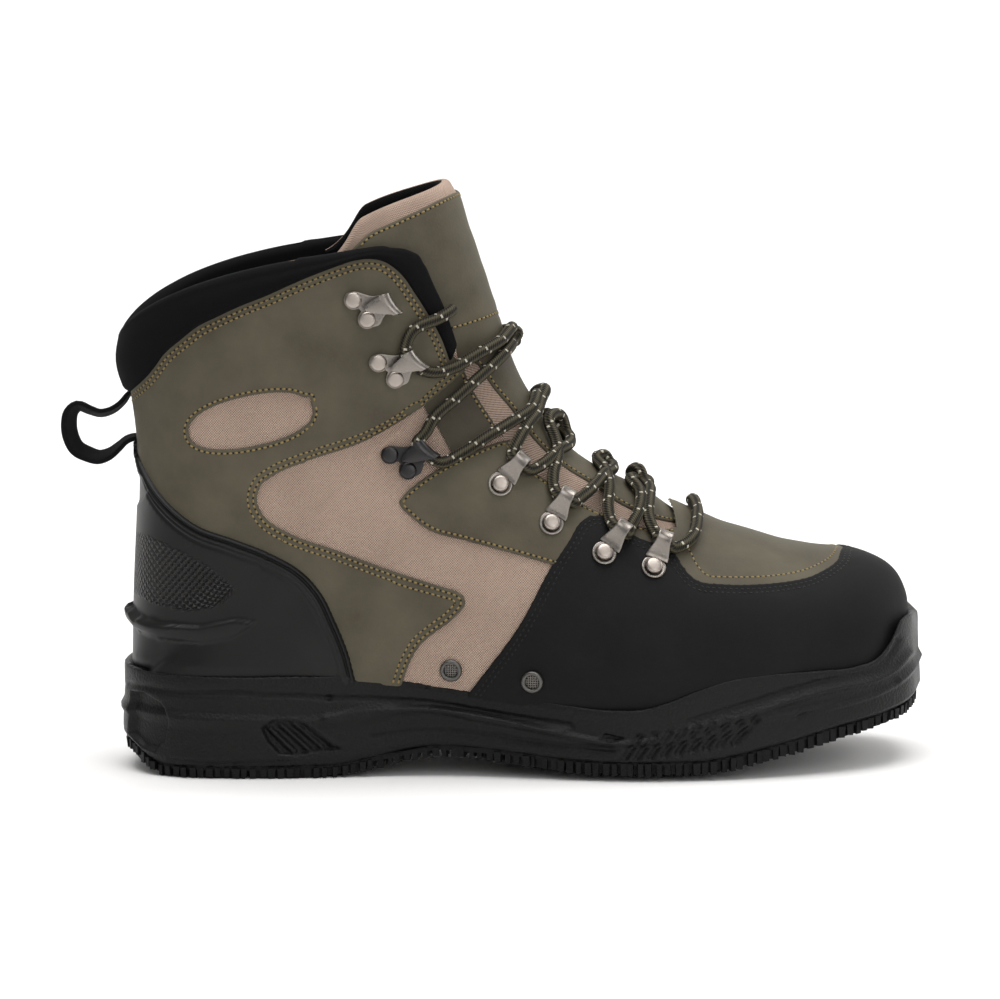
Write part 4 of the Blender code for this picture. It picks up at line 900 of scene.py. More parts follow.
def pushStitches(thread, cloth, outline, line, distance, lift, pitch=2.3, length=1.65, width=0.42, skip=0.9,
        toward=None):
    # beads along a line moved into the panel by a distance in mm, half sunk in the leather; on ochre rows a
    # short black bead between each two is painted shade in the needle hole
    flat = resample(cloth.flat(np.asarray(line)), 0.7 * mm)
    border = cloth.flat(np.asarray(outline))
    left = inward(flat, closed=False)
    middle = len(flat) // 2
    if toward is None:
        wrong = not insidePolygon(flat[middle:middle + 1] + left[middle:middle + 1] * mm, border)[0]
    else:
        wrong = np.dot(left[middle], cloth.flat(np.array([toward]))[0] - flat[middle]) < 0
    if wrong:
        flat = flat[::-1]
    moved = offsetLine(cloth, flat, distance * mm, False, skip) if distance > 0.1 else flat
    moved = moved[insidePolygon(moved, border)]
    if len(moved) < 3:
        return
    points = cloth.raised(moved, np.zeros(len(moved)))
    steps = np.linalg.norm(np.diff(points, axis=0), axis=1)
    for run in np.split(np.arange(len(moved)), np.where(steps > 3.5 * mm)[0] + 1):
        if len(run) > 3:
            stitchRun(thread, cloth, moved[run], points[run], lift, pitch, length, width)


def stitchRun(thread, cloth, moved, points, lift, pitch, length, width):
    along = lengthsAlong(points)
    count = int(along[-1] / (pitch * mm))

    def beads(kind, middle, size, high):
        ends = []
        for shift in (-0.5, 0.5):
            at = middle + shift * size * mm
            flatAt = np.stack([np.interp(at, along, moved[:, k]) for k in range(2)], -1)
            ends.append(cloth.raised(flatAt, np.full(len(at), high * mm)))
        up = (cloth.raised(flatAt, np.full(len(at), high * mm + mm)) - ends[1]) / mm
        ok = np.linalg.norm(ends[1] - ends[0], axis=1) < 1.5 * size * mm
        stitchRows[kind].append((ends[0][ok], ends[1][ok], up[ok], np.full(ok.sum(), width * mm)))

    beads(thread, (np.arange(count) + 0.5) * pitch * mm, length, lift)
    # short black beads between the ochre ones: painted shade in the needle holes
    if thread == "ochre":
        beads("hole", (np.arange(count - 1) + 1.0) * pitch * mm, 0.95, lift - 0.05)


def stitchPiece(name, thread, material):
    # one bead: four rings of six points between two tips, flattened a little
    start, end, up, width = (np.concatenate(group) for group in zip(*stitchRows[thread]))
    ahead = end - start
    size = np.linalg.norm(ahead, axis=1, keepdims=True)
    side = np.cross(up, ahead / size)
    share = np.array([0.0, 0.10, 0.32, 0.68, 0.90, 1.0])
    radius = np.array([0.0, 0.72, 1.0, 1.0, 0.72, 0.0])
    dip = np.array([-1.1, -0.35, 0.0, 0.0, -0.35, -1.1])
    angle = np.arange(6) * np.pi / 3
    ring = (np.cos(angle)[None, :, None] * side[:, None, None, :]
            + 0.85 * np.sin(angle)[None, :, None] * up[:, None, None, :])
    middle = start[:, None] + ahead[:, None] * share[None, :, None]
    middle = middle + up[:, None] * (dip * width[0])[None, :, None]
    rings = middle[:, 1:5, None] + ring * (radius[1:5, None] * width[0])[None, :, :, None]
    points = np.concatenate([middle[:, :1], rings.reshape(len(start), 24, 3), middle[:, 5:]], 1)
    k = np.arange(6)
    quads = np.concatenate([np.stack([1 + 6 * i + k, 1 + 6 * i + (k + 1) % 6, 7 + 6 * i + (k + 1) % 6,
            7 + 6 * i + k], -1) for i in range(3)])
    top, end = np.zeros(6, int), np.full(6, 25)
    tips = np.concatenate([np.stack([top, 1 + (k + 1) % 6, 1 + k], -1),
            np.stack([end, 19 + k, 19 + (k + 1) % 6], -1)])
    shift = 26 * np.arange(len(start))[:, None, None]
    mesh = newMesh(name, points, [(quads[None] + shift).reshape(-1, 4),
            (tips[None] + shift).reshape(-1, 3)])
    addPiece(name, mesh, material)


# Leather: quarters, wings, eyestays and the vamp's top

leather = dict(thickness=1.4 * mm, edge=0.9 * mm, grooves=(1.5 * mm, 3.6 * mm))


def moved(pixels, right, down):
    return tuple((u + right, v + down) for u, v in pixels)


def windowLine():
    line = np.concatenate([smoothLine(edges["window"], 2)[:-1], smoothLine(edges["windowTip"], 1.5)[:-1],
            smoothLine(edges["windowRear"], 2)])
    return onLast(line)


ovalWindow = dict(centre=(251, 421), along=63, across=25, tilt=12.0, square=2.25)


def ovalPixels(grow=0.0):
    # a superellipse, turned up to the right
    angle = np.linspace(0, 2 * np.pi, 120, endpoint=False)
    power = 2 / ovalWindow["square"]
    along = (ovalWindow["along"] + grow) * np.sign(np.cos(angle)) * np.abs(np.cos(angle)) ** power
    across = (ovalWindow["across"] + grow) * np.sign(np.sin(angle)) * np.abs(np.sin(angle)) ** power
    tilt = np.radians(ovalWindow["tilt"])
    u0, v0 = ovalWindow["centre"]
    return np.stack([u0 + along * np.cos(tilt) + across * np.sin(tilt),
            v0 - along * np.sin(tilt) + across * np.cos(tilt)], -1)


def quarterPiece(side, word):
    top = onLastLine(moved(edges["cuffLow"], 4, -6))
    window = windowLine()
    front = onLastLine(((452, 356), (462, 366), (464, 371)))
    counter = onLastLine(moved(edges["counter"], -2.5, 3.5))[::-1]
    rows = np.linspace(window[-1][0] + 0.02, counter[0][0] - 0.02, 12)
    low = np.stack([rows, rimStep(rows, side)], -1)
    seam = np.array([[22.4, 0.0], [24.6, 0.0]])
    line = np.concatenate([seam, top[1:], front, window, low, counter[:-2]])
    outline = heelPlaces(line, side)
    oval = heelPlaces(onLast(ovalPixels()), side)
    thickness = leather["thickness"]
    lift = rolledEdge(thickness, leather["edge"], groove=leather["grooves"])
    free = [heelPlaces(window, side), np.concatenate([oval, oval[:1]])]
    mesh, cloth = panelMesh(f"quarter{word.title()}", heelSkin, outline, 1.9, lift, free=free, holes=[oval])
    addPiece(f"quarter{word.title()}", mesh, materials["olive"], [f"quarter_{word}"])
    thick = thickness / mm
    for distance in (1.5, 3.6):
        pushStitches("ochre", cloth, outline, heelPlaces(window, side), distance, thick - 0.12, skip=0.75)
    pushStitches("ochre", cloth, outline, free[1], 1.5, thick - 0.12, skip=0.8)
    cuffEdge = heelPlaces(edgeLine("cuffLow"), side)
    for distance in (1.6, 3.5):
        pushStitches("ochre", cloth, outline, cuffEdge, distance, thick + 0.02, toward=(19.0, 0.35 * side))


def wingPiece(side, word):
    upper = onLastLine(((399, 502), (404, 495), (414, 486), (437, 470), (462, 457), (488, 446),
            (502, 441.5),
            (512, 440)))
    lower = onLastLine(((560, 567), (511, 553), (467, 541), (428.5, 529.6), (407, 513), (401, 507),
            (399, 502)))
    rows = np.linspace(12.75, 9.75, 24)
    throat = np.stack([rows, throatStep(rows) - 0.001], -1)
    toe = onLastLine(((596, 517), (586, 525), (576, 543), (562, 566)), 3)
    line = np.concatenate([upper, throat, toe, lower[:-1]])
    outline = toePlaces(line, side)
    lift = rolledEdge(leather["thickness"], leather["edge"], groove=(1.4 * mm,))
    free = [toePlaces(upper, side), toePlaces(lower, side), toePlaces(throat, side)]
    mesh, cloth = panelMesh(f"wing{word.title()}", toeSkin, outline, 1.8, lift, free=free)
    addPiece(f"wing{word.title()}", mesh, materials["olive"], [f"wing_{word}"])
    for part in (upper, lower, throat):
        pushStitches("ochre", cloth, outline, toePlaces(part, side), 1.4, leather["thickness"] / mm - 0.12)


def eyestayPiece(side, word):
    rows = np.linspace(18.3, 12.9, 26)
    throat = np.stack([rows, throatStep(rows) - 0.001], -1)
    left = onLastLine(((497, 433), (474, 447), (453, 453), (446, 442), (436, 424), (424, 405), (432, 390),
            (448, 374), (464, 363)))
    line = np.concatenate([throat, left])
    outline = heelPlaces(line, side)
    lift = rolledEdge(0.9 * mm, 0.7 * mm, groove=(1.4 * mm,))
    mesh, cloth = panelMesh(f"eyestay{word.title()}", heelSkin, outline, 1.8, lift,
            free=[heelPlaces(throat, side)])
    # the eyestays take the darker olive copy, as painted shade
    addPiece(f"eyestay{word.title()}", mesh, materials["oliveShaded"], [f"eyestay_{word}"])
    pushStitches("ochre", cloth, outline, heelPlaces(throat, side), 1.4, 0.8)


def vampPiece():
    # the leather in front of the throat and along it, under the toe piece's edge
    low = onLastLine(((584, 527), (601, 523), (618, 533), (634, 545), (655, 553), (668, 559), (678, 573),
            (695, 589), (723, 593), (773, 592), (819, 583), (845, 566), (851, 551)))
    rows = np.linspace(9.95, 8.0, 16)
    throat = np.stack([rows, throatStep(rows)], -1)
    tip = np.array([[8.05, 0.89], [8.15, 0.95], [8.2, 1.0]])
    nose = np.array([[3.85, 1.0]])
    near = np.concatenate([throat, tip])
    far = low[low[:, 0] > 3.9]
    outline = np.concatenate([toePlaces(far, -1), toePlaces(nose), toePlaces(far, 1)[::-1],
            toePlaces(near, 1)[:-1], toePlaces(near, -1)[::-1]])
    free = [toePlaces(near, -1), toePlaces(near, 1)]
    lift = rolledEdge(1.25 * mm, leather["edge"], groove=(1.4 * mm,))
    mesh, cloth = panelMesh("vampTop", toeSkin, outline, 1.7, lift, free=free)
    addPiece("vampTop", mesh, materials["olive"])
    seam = onLastLine(((683, 545), (689, 553), (697, 567), (705, 575.5), (723, 578), (773, 577), (812, 569),
            (832, 557), (837, 549)))
    for side in (-1, 1):
        pushStitches("ochre", cloth, outline, toePlaces(seam, side), 0.02, 1.15, skip=0)
        pushStitches("ochre", cloth, outline, toePlaces(throat, side), 1.4, 1.15)


for side, word in ((-1, "lateral"), (1, "medial")):
    quarterPiece(side, word)
    wingPiece(side, word)
    eyestayPiece(side, word)
vampPiece()
toeCapPiece()
print("leather cut")


# The heel counter: a moulded piece with piping along its front edge, a ledge and a ribbed patch

counter = dict(body=1.9, pipes=((1.15, 1.3, 0.75), (3.3, 0.9, 0.55), (4.9, 0.6, 0.45)), ledge=3.6,
        recess=0.9, axis=12 * mm)
counterMarks = dict(
    top=((118, 592), (128, 594), (132, 602), (140, 616), (164, 623), (201, 625), (234, 618), (246, 620),
        (254, 624)),
    bottom=((118, 600), (127, 611), (132, 621), (140, 630), (161, 639), (201, 643), (230, 639), (244, 631),
        (254, 625)),
    badgeTop=((110, 468), (134, 469), (141, 474), (148, 490)),
    badgeBottom=((110, 509), (134, 508), (141, 503), (148, 491)),
    patchTop=((110, 528), (132, 530), (151, 538), (180.5, 551), (210, 567.5), (231, 584), (235, 593)),
    patchBottom=((110, 588), (132, 591), (154, 605), (189, 612), (215, 608), (231, 599), (235, 594)),
)


def markShare(low, high, ground):
    # 0 on the upper line, 1 on the lower one, for the heel's outer side and its mirror image
    u, v = photoPixels(ground * np.array([1, 0, 1]) + np.stack([0 * ground[:, 1], -np.abs(ground[:, 1]),
            0 * ground[:, 1]], -1))
    top = np.interp(u, *np.array(counterMarks[low], float).T)
    bottom = np.interp(u, *np.array(counterMarks[high], float).T)
    share = (v - top) / np.maximum(bottom - top, 0.5)
    inside = (share > 0) & (share < 1) & (u < counterMarks[low][-1][0])
    return np.where(inside, share, 0), u, np.where(inside, np.minimum(v - top, bottom - v), 0)


def counterLift(distance, at, ground):
    d = distance / mm
    height = counter["body"] * np.sqrt(np.maximum(1 - (1 - np.clip(d / 0.9, 0, 1)) ** 2, 0)) - 0.15
    for place, rise, width in counter["pipes"]:
        height = height + rise * np.exp(-((d - place) / width) ** 2)
    height = height - 0.5 * np.exp(-((d - 2.3) / 0.4) ** 2) - 0.4 * np.exp(-((d - 6.0) / 0.5) ** 2)
    return height * mm


def ledgeReach(ground):
    # the ledge: a steep upper face, then a round belly that runs out to a tip in front
    share, u, _ = markShare("top", "bottom", ground)
    belly = soft(share / 0.18) * np.sqrt(np.maximum(1 - np.clip((share - 0.2) / 0.8, 0, 1) ** 2, 0))
    reach = counter["ledge"] * belly * (0.40 + 0.60 * soft((235 - u) / 90)) * mm
    # and a shallow leaf-shaped recess at the back seam, left bare
    _, badgeU, deep = markShare("badgeTop", "badgeBottom", ground)
    reach = reach - counter["recess"] * soft(deep / 5) * mm
    out = ground * np.array([1, 1, 0]) - np.array([counter["axis"], 0, 0])
    return out / np.linalg.norm(out, axis=1, keepdims=True) * reach[:, None]


def relaxed(mesh, places, weight, rounds):
    # moves points towards the mean of their neighbours, by weights from 0 to 1
    pairs = np.zeros(2 * len(mesh.edges), np.int32)
    mesh.edges.foreach_get("vertices", pairs)
    a, b = pairs.reshape(-1, 2).T
    degree = np.bincount(pairs, minlength=len(places))[:, None]
    for _ in range(rounds):
        total = np.zeros_like(places)
        np.add.at(total, a, places[b])
        np.add.at(total, b, places[a])
        places = places + 0.8 * weight[:, None] * (total / degree - places)
    return places


def counterPiece():
    line = onLastLine(edges["counter"])
    line[0] = (23.05, 0.0)
    rows = np.linspace(line[-1][0], 18.34, 40)
    outer = np.concatenate([heelPlaces(line), np.stack([rows, -rimStep(rows, -1, 3 * mm)], -1)[1:]])
    inner = np.concatenate([heelPlaces(line, 1), np.stack([rows, rimStep(rows, 1, 3 * mm)], -1)[1:]])
    outline = np.concatenate([outer, inner[::-1][1:-1]])
    rings = (0.12, 0.45, 0.8, 1.15, 1.5, 1.9, 2.3, 2.7, 3.1, 3.5, 3.9, 4.3, 4.7, 5.1, 5.6, 6.1, 6.7)
    free = [heelPlaces(line), heelPlaces(line, 1)]
    mesh, cloth = panelMesh("heelCounter", heelSkin, outline, 1.25, counterLift, rings=rings, free=free)
    count = len(mesh.vertices)
    flat = np.zeros(2 * len(mesh.loops), np.float32)
    mesh.uv_layers["cloth"].data.foreach_get("uv", flat)
    corner = np.zeros(len(mesh.loops), np.int32)
    mesh.loops.foreach_get("vertex_index", corner)
    uv = np.zeros((count, 2))
    uv[corner] = flat.reshape(-1, 2)
    ground = cloth.raised(uv, np.zeros(count))
    places = np.zeros(3 * count, np.float32)
    mesh.vertices.foreach_get("co", places)
    places = places.reshape(-1, 3).astype(float)
    away, _ = nearness(ground, cloth.raised(cloth.flat(outline), np.zeros(len(outline))))
    places = relaxed(mesh, places, soft((away / mm - 7.5) / 4), 120)
    _, _, inside = markShare("patchTop", "patchBottom", places)
    mesh.vertices.foreach_set("co", (places + ledgeReach(places)).astype(np.float32).ravel())
    mesh.update()
    setValue(mesh, "patch", soft(inside / 2.5))
    # the map for the net of pyramids: length round the heel, and height
    heelAngle = np.arctan2(ground[:, 1], 0.0 - ground[:, 0])
    mesh.uv_layers.remove(mesh.uv_layers["cloth"])
    setUV(mesh, np.stack([40 * mm * heelAngle, ground[:, 2]], -1))
    addPiece("heelCounter", mesh, materials["counter"], ["heel_counter"])


counterPiece()
print("counter moulded")


# The padded cuff round the collar

cuffRim = ((26.0, 0.0), (26.0, 0.10), (26.0, 0.20), (26.0, 0.30), (26.0, 0.40), (26.0, 0.50), (26.0, 0.58),
        (25.8, 0.635), (25.3, 0.685), (24.5, 0.705), (23.6, 0.715), (22.3, 0.73), (21.3, 0.74),
        (20.0, 0.75),
        (19.3, 0.755))
cuff = dict(front=2.0, back=3.2, bulge=1.5, inside=4.6, insideFront=2.6, depth=30.0)


def cuffPiece():
    # across: from the border up over the rim and down inside; along: from the outer side's front
    # round the back to the inner side's front
    border = onLastLine(edges["cuffLow"])
    border[0] = (24.15, 0.0)
    rim = smoothLine(cuffRim, 0.05)
    count = 150
    share = np.linspace(0, 1, count)
    evened = []
    for line in (border, rim):
        places = lastSurface(line[:, 0], line[:, 1], -1)
        length = lengthsAlong(places)
        evened.append(np.stack([np.interp(share * length[-1], length, line[:, k]) for k in range(2)], -1))
    low, high = evened
    frontness = soft((share - 0.55) / 0.25)
    outer = (cuff["back"] + (cuff["front"] - cuff["back"]) * frontness) * mm
    inner = (cuff["inside"] + (cuff["insideFront"] - cuff["inside"]) * frontness) * mm
    radius, centre = (outer + inner) / 2, (outer - inner) / 2
    halves = []
    for side in (-1, 1):
        top = lastSurface(high[:, 0], high[:, 1], side)
        normal = lastNormal(high[:, 0], high[:, 1], side)
        below = lastSurface(high[:, 0] + 0.1 * (low[:, 0] - high[:, 0]),
                high[:, 1] + 0.1 * (low[:, 1] - high[:, 1]), side)
        upward = top - below
        upward = upward - normal * np.sum(upward * normal, 1, keepdims=True)
        upward = upward / np.linalg.norm(upward, axis=1, keepdims=True)
        width = np.linalg.norm(lastSurface(low[:, 0], low[:, 1], side) - top, axis=1)
        stop = np.clip(1 - radius / width, 0.2, 1)
        lines = []
        for u in (0.0, 0.004, 0.015, 0.035, 0.07, 0.12, 0.2, 0.3, 0.42, 0.55, 0.68, 0.8, 0.9, 1.0):
            at = low + (high - low) * (u * stop)[:, None]
            rise = np.sqrt(np.maximum(1 - (1 - min(u / 0.12, 1)) ** 2, 0))
            lift = (outer + cuff["bulge"] * mm * np.sin(np.pi * min(u * 1.02,
                    1)) * (1 - 0.7 * frontness)) * rise
            lines.append(lastSurface(at[:, 0], at[:, 1], side)
                    + (lift + 0.3 * mm)[:, None] * lastNormal(at[:, 0], at[:, 1], side))
        seat = lastSurface(*(low + (high - low) * stop[:, None]).T, side)
        for angle in np.linspace(0, np.pi, 13)[1:]:
            reach = centre + (radius + 0.3 * mm * (1 + np.cos(angle)) / 2) * np.cos(angle)
            lines.append(seat + reach[:, None] * normal + (radius * np.sin(angle))[:, None] * upward)
        for v in np.linspace(0, 1, 12)[1:]:
            at = np.stack([high[:, 0] - (0.3 + 4.2 * v * (1 - 0.3 * frontness)), high[:, 1]], -1)
            depth = inner * (1 - v) + 2.3 * mm * v + 0.6 * mm * np.sin(np.pi * v)
            lines.append(lastSurface(at[:, 0], at[:, 1], side) - depth[:, None] * lastNormal(at[:, 0],
                    at[:, 1], side))
        halves.append(np.stack(lines, 1))
    points = np.concatenate([halves[0][::-1], halves[1][1:]])
    rows, columns = points.shape[:2]
    mesh = newMesh("collarCuff", points, gridFaces(rows, columns, turn=False))
    lengths = [lengthsAlong(points[:, 8]), lengthsAlong(points[rows // 2])]
    setUV(mesh, np.stack(np.meshgrid(*lengths, indexing="ij"), -1).reshape(-1, 2))
    piece = addPiece("collarCuff", mesh, materials["cuff"], ["collar_cuff"])


cuffPiece()
print("cuff padded")


# The tongue: cloth-faced padding that swells through the throat and stands above the collar

tongue = dict(firstRow=7.0, underShare=0.34, wingShare=0.75, mostEdge=0.955, gap=0.3 * mm, tuck=2.6 * mm,
        thickness=4.2 * mm, fullness=1.8, round=1.1)


def tongueSkin(row, across, lift):
    # across: 0 at the ridge, -1 and 1 at the wings that lie inside the quarters; above the collar only
    # the middle climbs on, and in the throat the face swells out to the last's own surface
    row, across = np.broadcast_arrays(np.asarray(row, float), np.asarray(across, float))
    side = np.where(across <= 0, -1, 1)
    share = 1 - np.abs(across)
    edge = throatStep(row, np.minimum(section("edge", row), tongue["mostEdge"]))
    under = edge * (tongue["wingShare"] + (1 - tongue["wingShare"]) * share / tongue["underShare"])
    opened = edge + (1 - edge) * (share - tongue["underShare"]) / (1 - tongue["underShare"])
    step = np.where(share < tongue["underShare"], under, opened)
    low = tongue["wingShare"] * edge
    middle = np.clip((step - low) / (1 - low), 0, 1)
    climb = 0.15 + 0.85 * (1 - (1 - middle) ** tongue["fullness"])
    at = np.minimum(row, last["collarRow"]) + np.maximum(row - last["collarRow"], 0) * climb
    at = at - tongue["round"] * soft((np.abs(across) - 0.79) / 0.21) * soft((row - 24) / 4)
    swell = soft((step - edge) / (0.55 * (1 - edge))) * np.clip(row - tongue["firstRow"] - 1, 0, 1)
    tuck = tongue["tuck"] * np.clip(tongue["firstRow"] + 1 - row, 0, 1)
    inset = (last["wall"] + tongue["gap"]) * (1 - swell) + tongue["gap"] + tuck
    return lastSurface(at, step, side) + (np.asarray(lift) - inset)[..., None] * lastNormal(at, step, side)


def tonguePiece():
    # face, a round top edge and the lining behind, closed along the sides
    rows, across = np.linspace(7.0, lastRow, 130), np.linspace(-1, 1, 121)
    front = tongueSkin(rows[:, None], across[None, :], np.zeros((130, 121)))
    back = tongueSkin(rows[:, None], across[None, :], np.full((130, 121), -tongue["thickness"]))
    middle, reach = (front[-1] + back[-1]) / 2, (front[-1] - back[-1]) / 2
    rise = front[-1] - front[-4]
    rise = rise / np.linalg.norm(rise, axis=1, keepdims=True) * np.linalg.norm(reach, axis=1, keepdims=True)
    arc = [middle + reach * np.cos(angle) + 1.3 * rise * np.sin(angle) for angle in np.linspace(0, np.pi,
            11)[1:-1]]
    sheet = np.concatenate([front, np.stack(arc), back[::-1]])
    count = len(sheet)
    faces = [gridFaces(count, 121)]
    k = np.arange(129)
    for column, turn in ((0, False), (120, True)):
        strip = np.stack([k, k + 1, count - 2 - k, count - 1 - k], -1) * 121 + column
        faces.append(strip[:, ::-1] if turn else strip)
    foot = np.stack([np.arange(120) + 1, np.arange(120), (count - 1) * 121 + np.arange(120),
            (count - 1) * 121 + np.arange(120) + 1], -1)
    faces.append(foot)
    mesh = newMesh("tongueFace", sheet, faces)
    lengths = [lengthsAlong(sheet[:, 60]), lengthsAlong(front[70])]
    setUV(mesh, np.stack(np.meshgrid(*lengths, indexing="ij"), -1).reshape(-1, 2))
    piece = addPiece("tongueFace", mesh, [materials["canvas"], materials["lining"]],
            ["tongue"])
    inner = np.zeros(len(mesh.polygons), np.int32)
    inner[135 * 120:] = 1
    mesh.polygons.foreach_set("material_index", inner)


tongueChart = makeChart(lambda row, share: tongueSkin(row, share - 1, np.zeros(np.shape(row))),
        np.linspace(7.0, lastRow, 260), np.linspace(0, 1.0, 141))


def onTongue(pixels, spacing=2.0):
    # (row, across) on the tongue's outer half
    at = onSurface(tongueChart, smoothLine(pixels, spacing))
    return np.stack([at[:, 0], at[:, 1] - 1], -1)


def mirrored(places):
    return np.stack([places[:, 0], -places[:, 1]], -1)


def tongueLeather():
    top = onTongue(((345, 256), (359, 242.5), (365, 236.5), (391, 223), (415, 212), (439, 200),
            (457, 191.5)))
    seam = onTongue(((441, 335), (451, 331), (465, 327), (480, 322), (497, 315.5)))
    rear = onTongue(((441, 335), (434, 316), (422, 290), (404, 268), (380, 260), (345, 256)), 6.0)
    near = np.concatenate([seam[::-1], rear[1:-1], top])
    ridgeLow, ridgeTop = np.array([[seam[-1][0], 0.0]]), np.array([[top[-1][0], 0.0]])
    outline = np.concatenate([ridgeLow, near[near[:, 1] < -0.005], ridgeTop, mirrored(near)[::-1]
            [mirrored(near)[::-1][:, 1] > 0.005]])
    lift = rolledEdge(1.1 * mm, 0.8 * mm, groove=(1.3 * mm,))
    mesh, cloth = panelMesh("tongueBadge", tongueSkin, outline, 1.8, lift)
    addPiece("tongueBadge", mesh, materials["olive"])
    for line in (top, seam, mirrored(top), mirrored(seam)):
        pushStitches("ochre", cloth, outline, line, 1.3, 1.0)
    # the long strip down to the vamp
    start = onTongue(((440, 336), (446, 352), (456, 364), (468, 366), (471, 362), (475.6, 363.6),
            (480.8, 369.5), (489.7, 383.6), (512.7, 411.6),
            (530.5, 436), (544.5, 451), (567.7, 470), (589, 483), (616, 502), (632.7, 510.8), (657, 519.7),
            (682, 521.7), (690, 518)))
    start = start[start[:, 0] > 7.4]
    outline = np.concatenate([start, mirrored(start)[::-1]])
    lift = rolledEdge(0.95 * mm, 0.7 * mm, groove=(1.3 * mm,))
    mesh, cloth = panelMesh("tongueStrip", tongueSkin, outline, 1.8, lift)
    addPiece("tongueStrip", mesh, materials["olive"])
    for line in (start, mirrored(start)):
        pushStitches("ochre", cloth, outline, line, 1.3, 0.85)


tonguePiece()
tongueLeather()
print("tongue padded")


# The midsole: a moulded cup whose side is carved with ridges, scoops and ribs

def soleSide(amount, side):
    key = np.linspace(0, 1, len(soleX))
    y = smoothThrough(key, soleLateral if side < 0 else soleMedial, amount)
    return sole["length"] * smoothThrough(key, soleX, amount), side * sole["width"] * y


def ridgeHeight(x):
    return sole["height"] * smoothThrough(sideX, sideRidge, x / sole["length"])


def bottomHeight(x):
    # flat under heel and ball, raised at the arch, the toe and the heel's end
    share = np.asarray(x, float) / sole["length"]
    back = sole["bevel"] * soft((-0.090 - share) / 0.060)
    arch = sole["arch"] * np.minimum(soft((share - 0.110) / 0.140), soft((0.455 - share) / 0.185))
    spring = np.clip((share - 0.575) / (0.8535 - 0.575), 0, 1)
    return back + arch + sole["spring"] * spring**1.25


def edgeLift(across, x):
    share = np.asarray(x, float) / sole["length"]
    ball = soft((share - 0.30) / 0.15) * soft((0.84 - share) / 0.12)
    return sole["edgeRise"] * ball * np.abs(across) ** 5


soleMarks = dict(
    scoop=dict(kind="hollow", depth=2.2, soft=4.0, line=((128, 690), (142, 692), (160, 702), (170, 718),
        (166, 738),
        (156, 752), (140, 748), (127, 733))),
    leaf=dict(kind="hollow", depth=1.7, soft=2.6, line=((260.5, 729), (272, 719.5), (296, 719.5),
        (312, 726.6),
        (336, 745.5), (346, 750), (319, 752.5), (296, 757), (279, 755), (267.5, 743))),
    wave=dict(kind="ridge", depth=0.9, width=4.0, line=((326, 718), (350, 713), (380, 710), (431, 708),
        (482, 719),
        (543, 729), (562, 731))),
    waveGroove=dict(kind="groove", depth=0.8, width=3.0,
        line=((330, 699), (380, 700), (441, 705), (482, 712),
        (543, 722), (570, 726))),
    lowLine=dict(kind="groove", depth=0.7, width=2.6, line=((372, 737), (420, 731), (462, 732), (523, 740),
        (564, 746), (612, 750))),
    notch=dict(kind="hollow", depth=1.1, soft=2.0, line=((598, 742), (604.5, 733), (628, 739), (612, 744))),
    foreRidge=dict(kind="ridge", depth=1.0, width=3.4, line=((640, 742), (680, 733), (712, 726), (744, 717),
        (792, 701), (839, 688), (871, 682), (895, 671), (912, 652))),
    foreGroove=dict(kind="groove", depth=0.8, width=3.4,
        line=((690, 722), (744, 706), (792, 691), (839, 678),
        (871, 671), (889, 658), (900, 640))),
    toeGroove=dict(kind="groove", depth=0.9, width=2.6,
        line=((800, 716), (839, 703), (871, 694), (896, 682))),
    heelGroove=dict(kind="groove", depth=0.8, width=2.6,
        line=((126, 684), (148, 688), (168, 692), (200, 694),
        (240, 694), (262, 696), (300, 697), (330, 699))),
    heelFoot=dict(kind="groove", depth=0.6, width=2.4,
        line=((170, 760), (200, 764), (240, 764), (290, 762))),
)
leafRibs = tuple(dict(kind="ridge", depth=1.5, width=2.6, line=line) for line in (
    ((270, 729), (294, 752)), ((281, 725), (309, 750)), ((294, 723), (323, 748)), ((309, 728), (333, 746))))
foreRibs = tuple(dict(kind="groove", depth=1.2, width=3.6, line=((640 + 14.5 * k, 738 - 2.2 * k),
        (622 + 14.0 * k, 762 - 2.4 * k))) for k in range(9))


def distanceToLine(u, v, line):
    # nearest distance in pixels from each point to a run of straight pieces
    away = np.full(np.shape(u), 1e9)
    for (u0, v0), (u1, v1) in zip(line, line[1:]):
        du, dv = u1 - u0, v1 - v0
        share = np.clip(((u - u0) * du + (v - v0) * dv) / (du * du + dv * dv), 0, 1)
        away = np.minimum(away, np.hypot(u - u0 - share * du, v - v0 - share * dv))
    return away


def carving(u, v):
    # height in mm that the marks add to the side, at the photograph's pixels
    total = np.zeros(np.shape(u))
    for mark in (*soleMarks.values(), *leafRibs, *foreRibs):
        line = mark["line"]
        if mark["kind"] == "hollow":
            inside = insidePolygon(np.stack([u.ravel(), v.ravel()], -1),
                    np.array(line, float)).reshape(u.shape)
            away = distanceToLine(u, v, (*line, line[0]))
            total -= mark["depth"] * np.where(inside, soft(away / mark["soft"]), 0)
        else:
            sign = 1 if mark["kind"] == "ridge" else -1
            bell = np.exp(-(distanceToLine(u, v, smoothLine(line, 3.0)) / mark["width"]) ** 2)
            total += sign * mark["depth"] * bell
    return 1.3 * total


